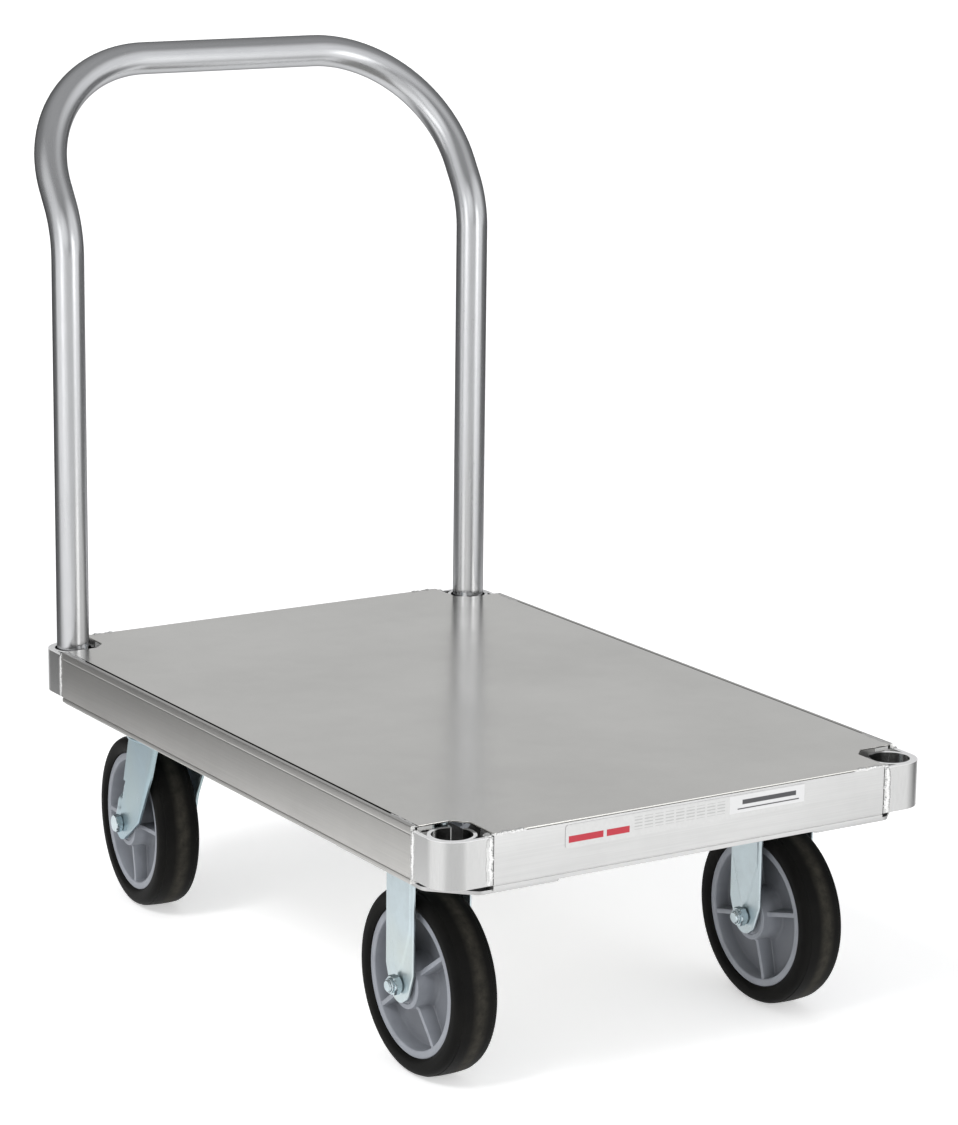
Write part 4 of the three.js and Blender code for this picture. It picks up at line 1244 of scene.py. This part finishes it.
class TRUCK_OT_swivels(bpy.types.Operator):
    """Builds the swivel heads and yokes of the rear casters"""

    bl_idname = "truck.swivels"
    bl_label = "Swivel casters"

    def execute(self, context):
        for place in ("rear_left", "rear_right"):
            spin, swivel = JOINTS[place + "_wheel_spin"], JOINTS[place + "_swivel_turn"]
            centre = np.array(swivel["pos_m"]) / MM * [1, 1, 0]
            wheel = np.array(spin["pos_m"]) / MM * [1, 1, 0]
            lead = float(np.linalg.norm(wheel - centre))
            turn = math.atan2(spin["axis"][1], spin["axis"][0])
            build("swivel_plate_" + place, [moved(caster_plate(), centre)], "chassis",
                  FINISHES["zinc"], [place + "_top_plate"])
            race = [(8.3, 224), (40.5, 224), (42, 224.6), (43, 226.0), (43.2, 227.4),
                    (46.6, 228.4), (47, 230), (46.6, 234.6), (44.0, 235.9), (8.3, 235.9)]
            build("race_" + place, [moved(turned(race, 96), centre)], "chassis",
                  FINISHES["zinc"], [place + "_ball_race"], crease=30)
            shank = turned([(8.0, 214), (8.0, CASTER_TOP - 0.6), (7.4, CASTER_TOP)], 48, closed=False)
            pin = [hexagon(24, 208.5, 216.4, chamfer=1.6), shank]
            build("kingpin_piece_" + place, [moved(p, centre) for p in pin], "chassis",
                  FINISHES["bolt"], [place + "_kingpin"], crease=28)
            crown = [(8.5, CROWN_BOTTOM), (39, CROWN_BOTTOM), (43, CROWN_BOTTOM + 0.4),
                     (45.6, CROWN_BOTTOM + 2), (46, CROWN_BOTTOM + 4), (45.4, CROWN_TOP - 0.6),
                     (43.5, CROWN_TOP), (8.5, CROWN_TOP)]
            # the shoulder ends inside the crown, short of the kingpin
            shoulder = plate(rounded(rectangle(-LEG_OUTER, -54, LEG_OUTER, -10), 3),
                             CROWN_BOTTOM + 0.5, CROWN_TOP - 0.3, 1.2)
            parts = [turned(crown, 96), shoulder, yoke_leg(1, lead), yoke_leg(-1, lead)]
            parts = [moved(turned_about_z(p, turn), centre) for p in parts]
            build("yoke_piece_" + place, parts, place + "_swivel", FINISHES["yoke"],
                  [place + "_yoke"], crease=24)
            build("plate_bolts_" + place, [moved(p, centre) for p in corner_bolts(38.0, 47.5)], "chassis",
                  FINISHES["bolt"], crease=28)
        return {"FINISHED"}


# ---- studio ---------------------------------------------------------------------------------------------
class TRUCK_OT_studio(bpy.types.Operator):
    """Sets up the pale floor, the soft lights and the camera"""

    bl_idname = "truck.studio"
    bl_label = "Studio"

    def execute(self, context):
        studio = context.scene.truck_studio
        self.floor(studio)
        self.sky()
        self.lights(studio)
        self.camera(studio)
        context.scene.view_settings.view_transform = "Standard"
        return {"FINISHED"}

    def floor(self, studio):
        """A disc 60 m wide: radius times (cos a, sin a). Its paint is pale round the truck and along the line
        of sight, and greyer to both sides behind it and towards the camera: a painted pool of light, with
        painted shade outside it. The paint also glows by the same pool, painted light that lifts the truck's
        shadow."""
        a = np.linspace(0, 2 * math.pi, 96, endpoint=False)
        rim = np.stack([30 * np.cos(a), 30 * np.sin(a), 0 * a], 1)
        mesh = bpy.data.meshes.new("studio_floor")
        mesh.from_pydata(rim.tolist(), [], [list(range(len(a)))])
        floor = bpy.data.objects.new("studio_floor", mesh)
        bpy.context.scene.collection.objects.link(floor)
        made = Finish("studio_floor_paint", specular=0.1)
        split = made.node("ShaderNodeSeparateXYZ")
        made.link(made.where.outputs["Object"], split.inputs["Vector"])
        x, y = split.outputs["X"], split.outputs["Y"]
        along = made.sum(made.sum(x, VIEW_X, "MULTIPLY"), made.sum(y, VIEW_Y, "MULTIPLY"))
        aside = made.sum(made.sum(x, VIEW_Y, "MULTIPLY"), made.sum(y, VIEW_X, "MULTIPLY"), "SUBTRACT")
        angle = made.sum(made.sum(made.sum(aside, -0.047), 0, "ABSOLUTE"), made.sum(along, 4.37), "DIVIDE")
        beam, front = made.spread(angle, 1.0, 0.0, 0.15, 0.27), made.spread(along, 1.0, 0.0, -0.6, 0.3)
        pool = made.sum(beam, front, "MAXIMUM")
        round_ = made.sum(made.sum(made.sum(y, x, "ARCTAN2"), 1.955), 0, "ABSOLUTE")
        sector, near = made.spread(round_, 0.36, 0.0, 0.34, 0.54), made.spread(along, 1.0, 0.0, -0.95, -0.78)
        pool = made.sum(pool, made.sum(sector, near, "MULTIPLY"), "SUBTRACT")
        # painted pool of light on the floor, with painted shade outside it
        made.colour(made.tint(pool, shade(studio.floor, studio.floor_shade), studio.floor))
        made.roughness(made.spread(made.noise((0.6,) * 3, detail=2.0), 0.85, 0.9))
        # painted light: the floor glows by the same pool, though it is no lamp
        made.shader.inputs["Emission Color"].default_value = (1, 1, 1, 1)
        made.link(made.sum(pool, studio.glow, "MULTIPLY"), made.shader.inputs["Emission Strength"])
        mesh.materials.append(made.material)

    def sky(self):
        """A pale surround: brighter patches low behind the truck, on its left, in front and above."""
        world = bpy.data.worlds.new("studio_surround")
        world.use_nodes = True
        bpy.context.scene.world = world
        tree = world.node_tree
        back = tree.nodes["Background"]
        where = tree.nodes.new("ShaderNodeTexCoord").outputs["Generated"]
        total = None
        for direction, low, high, strength in SKY_PATCHES:
            facing = tree.nodes.new("ShaderNodeVectorMath")
            facing.operation = "DOT_PRODUCT"
            facing.inputs[1].default_value = direction
            tree.links.new(where, facing.inputs[0])
            patch = tree.nodes.new("ShaderNodeMapRange")
            patch.interpolation_type = "SMOOTHSTEP"
            for key, value in (("From Min", low), ("From Max", high), ("To Min", 0.0), ("To Max", strength)):
                patch.inputs[key].default_value = value
            tree.links.new(facing.outputs["Value"], patch.inputs["Value"])
            add = tree.nodes.new("ShaderNodeMath")
            add.inputs[0].default_value = SKY_BASE
            if total:
                tree.links.new(total, add.inputs[0])
            tree.links.new(patch.outputs["Result"], add.inputs[1])
            total = add.outputs["Value"]
        tree.links.new(total, back.inputs["Strength"])
        back.inputs["Color"].default_value = (0.985, 0.99, 1.0, 1)

    def lights(self, studio):
        """Two suns that stay out of reflections, and two softboxes."""
        suns = (("overhead", studio.top, 80, (24, 14)), ("side", studio.side, 16, (12, -38)))
        for name, energy, spread, turn in suns:
            sun = bpy.data.lights.new(name, "SUN")
            sun.energy = energy
            sun.angle = math.radians(spread)
            lamp = bpy.data.objects.new(name, sun)
            lamp.rotation_euler = (math.radians(turn[0]), math.radians(turn[1]), 0)
            lamp.visible_glossy = False
            bpy.context.scene.collection.objects.link(lamp)
        boxes = (("softbox_right", (1.1, -4.3, 1.0), studio.key),
                 ("softbox_left", (-4.0, -1.2, 1.0), studio.fill))
        for name, at, power in boxes:
            soft = bpy.data.lights.new(name, "AREA")
            soft.shape = "RECTANGLE"
            soft.size, soft.size_y = 1.5, 2.1
            soft.energy = power
            box = bpy.data.objects.new(name, soft)
            box.matrix_world = self.aimed(at, (0, 0, 0.5))
            bpy.context.scene.collection.objects.link(box)

    def aimed(self, at, to):
        """A matrix that stands at one point and looks down -Z to another."""
        at, to = np.array(at, float), np.array(to, float)
        back = (at - to) / np.linalg.norm(at - to)
        right = np.cross([0, 0, 1], back)
        right /= np.linalg.norm(right)
        turned_axes = np.stack([right, np.cross(back, right), back], 1)
        matrix = Matrix(turned_axes.tolist()).to_4x4()
        matrix.translation = at.tolist()
        return matrix

    def camera(self, studio):
        """Stands about 4.2 m away, turned by the view's azimuth and elevation and rolled a little."""
        az, el, roll = (math.radians(v) for v in (VIEW_AZIMUTH, VIEW_ELEVATION, VIEW_ROLL))
        back = np.array([math.sin(az) * math.cos(el), -math.cos(az) * math.cos(el), math.sin(el)])
        right = np.cross(-back, [0, 0, 1])
        right /= np.linalg.norm(right)
        up = np.cross(right, -back)
        x = right * math.cos(roll) + up * math.sin(roll)
        y = up * math.cos(roll) - right * math.sin(roll)
        data = bpy.data.cameras.new("studio_camera")
        data.lens = studio.lens
        data.sensor_width = 36.0
        data.clip_end = 200.0
        camera = bpy.data.objects.new("studio_camera", data)
        matrix = Matrix(np.stack([x, y, back], 1).tolist()).to_4x4()
        matrix.translation = (-2.11986, -3.39852 + DECK_Y * MM, 1.39392)
        camera.matrix_world = matrix
        bpy.context.scene.collection.objects.link(camera)
        bpy.context.scene.camera = camera


# ---- panel and registration -----------------------------------------------------------------------------
PIECES = (TRUCK_OT_deck, TRUCK_OT_rails, TRUCK_OT_sockets, TRUCK_OT_cross_members, TRUCK_OT_welds,
          TRUCK_OT_label, TRUCK_OT_handle, TRUCK_OT_wheels, TRUCK_OT_axles, TRUCK_OT_rigid_forks,
          TRUCK_OT_swivels, TRUCK_OT_studio)


class TRUCK_PT_panel(bpy.types.Panel):
    """Lists the truck's settings and building steps"""

    bl_idname = "TRUCK_PT_panel"
    bl_label = "Platform Truck"
    bl_space_type = "VIEW_3D"
    bl_region_type = "UI"
    bl_category = "Truck"

    def draw(self, context):
        for group in (context.scene.truck_finishes, context.scene.truck_sizes, context.scene.truck_studio):
            column = self.layout.column()
            for name in group.__annotations__:
                column.prop(group, name)
        for piece in PIECES:
            self.layout.operator(piece.bl_idname)


CLASSES = (TruckFinishes, TruckSizes, TruckStudio, *PIECES, TRUCK_PT_panel)


def register():
    for cls in CLASSES:
        bpy.utils.register_class(cls)
    bpy.types.Scene.truck_finishes = PointerProperty(type=TruckFinishes)
    bpy.types.Scene.truck_sizes = PointerProperty(type=TruckSizes)
    bpy.types.Scene.truck_studio = PointerProperty(type=TruckStudio)


def unregister():
    del bpy.types.Scene.truck_studio
    del bpy.types.Scene.truck_sizes
    del bpy.types.Scene.truck_finishes
    for cls in reversed(CLASSES):
        bpy.utils.unregister_class(cls)


def main():
    register()
    make_finishes()
    for piece in PIECES:
        group, step = piece.bl_idname.split(".")
        getattr(getattr(bpy.ops, group), step)()


if __name__ == "__main__":
    main()
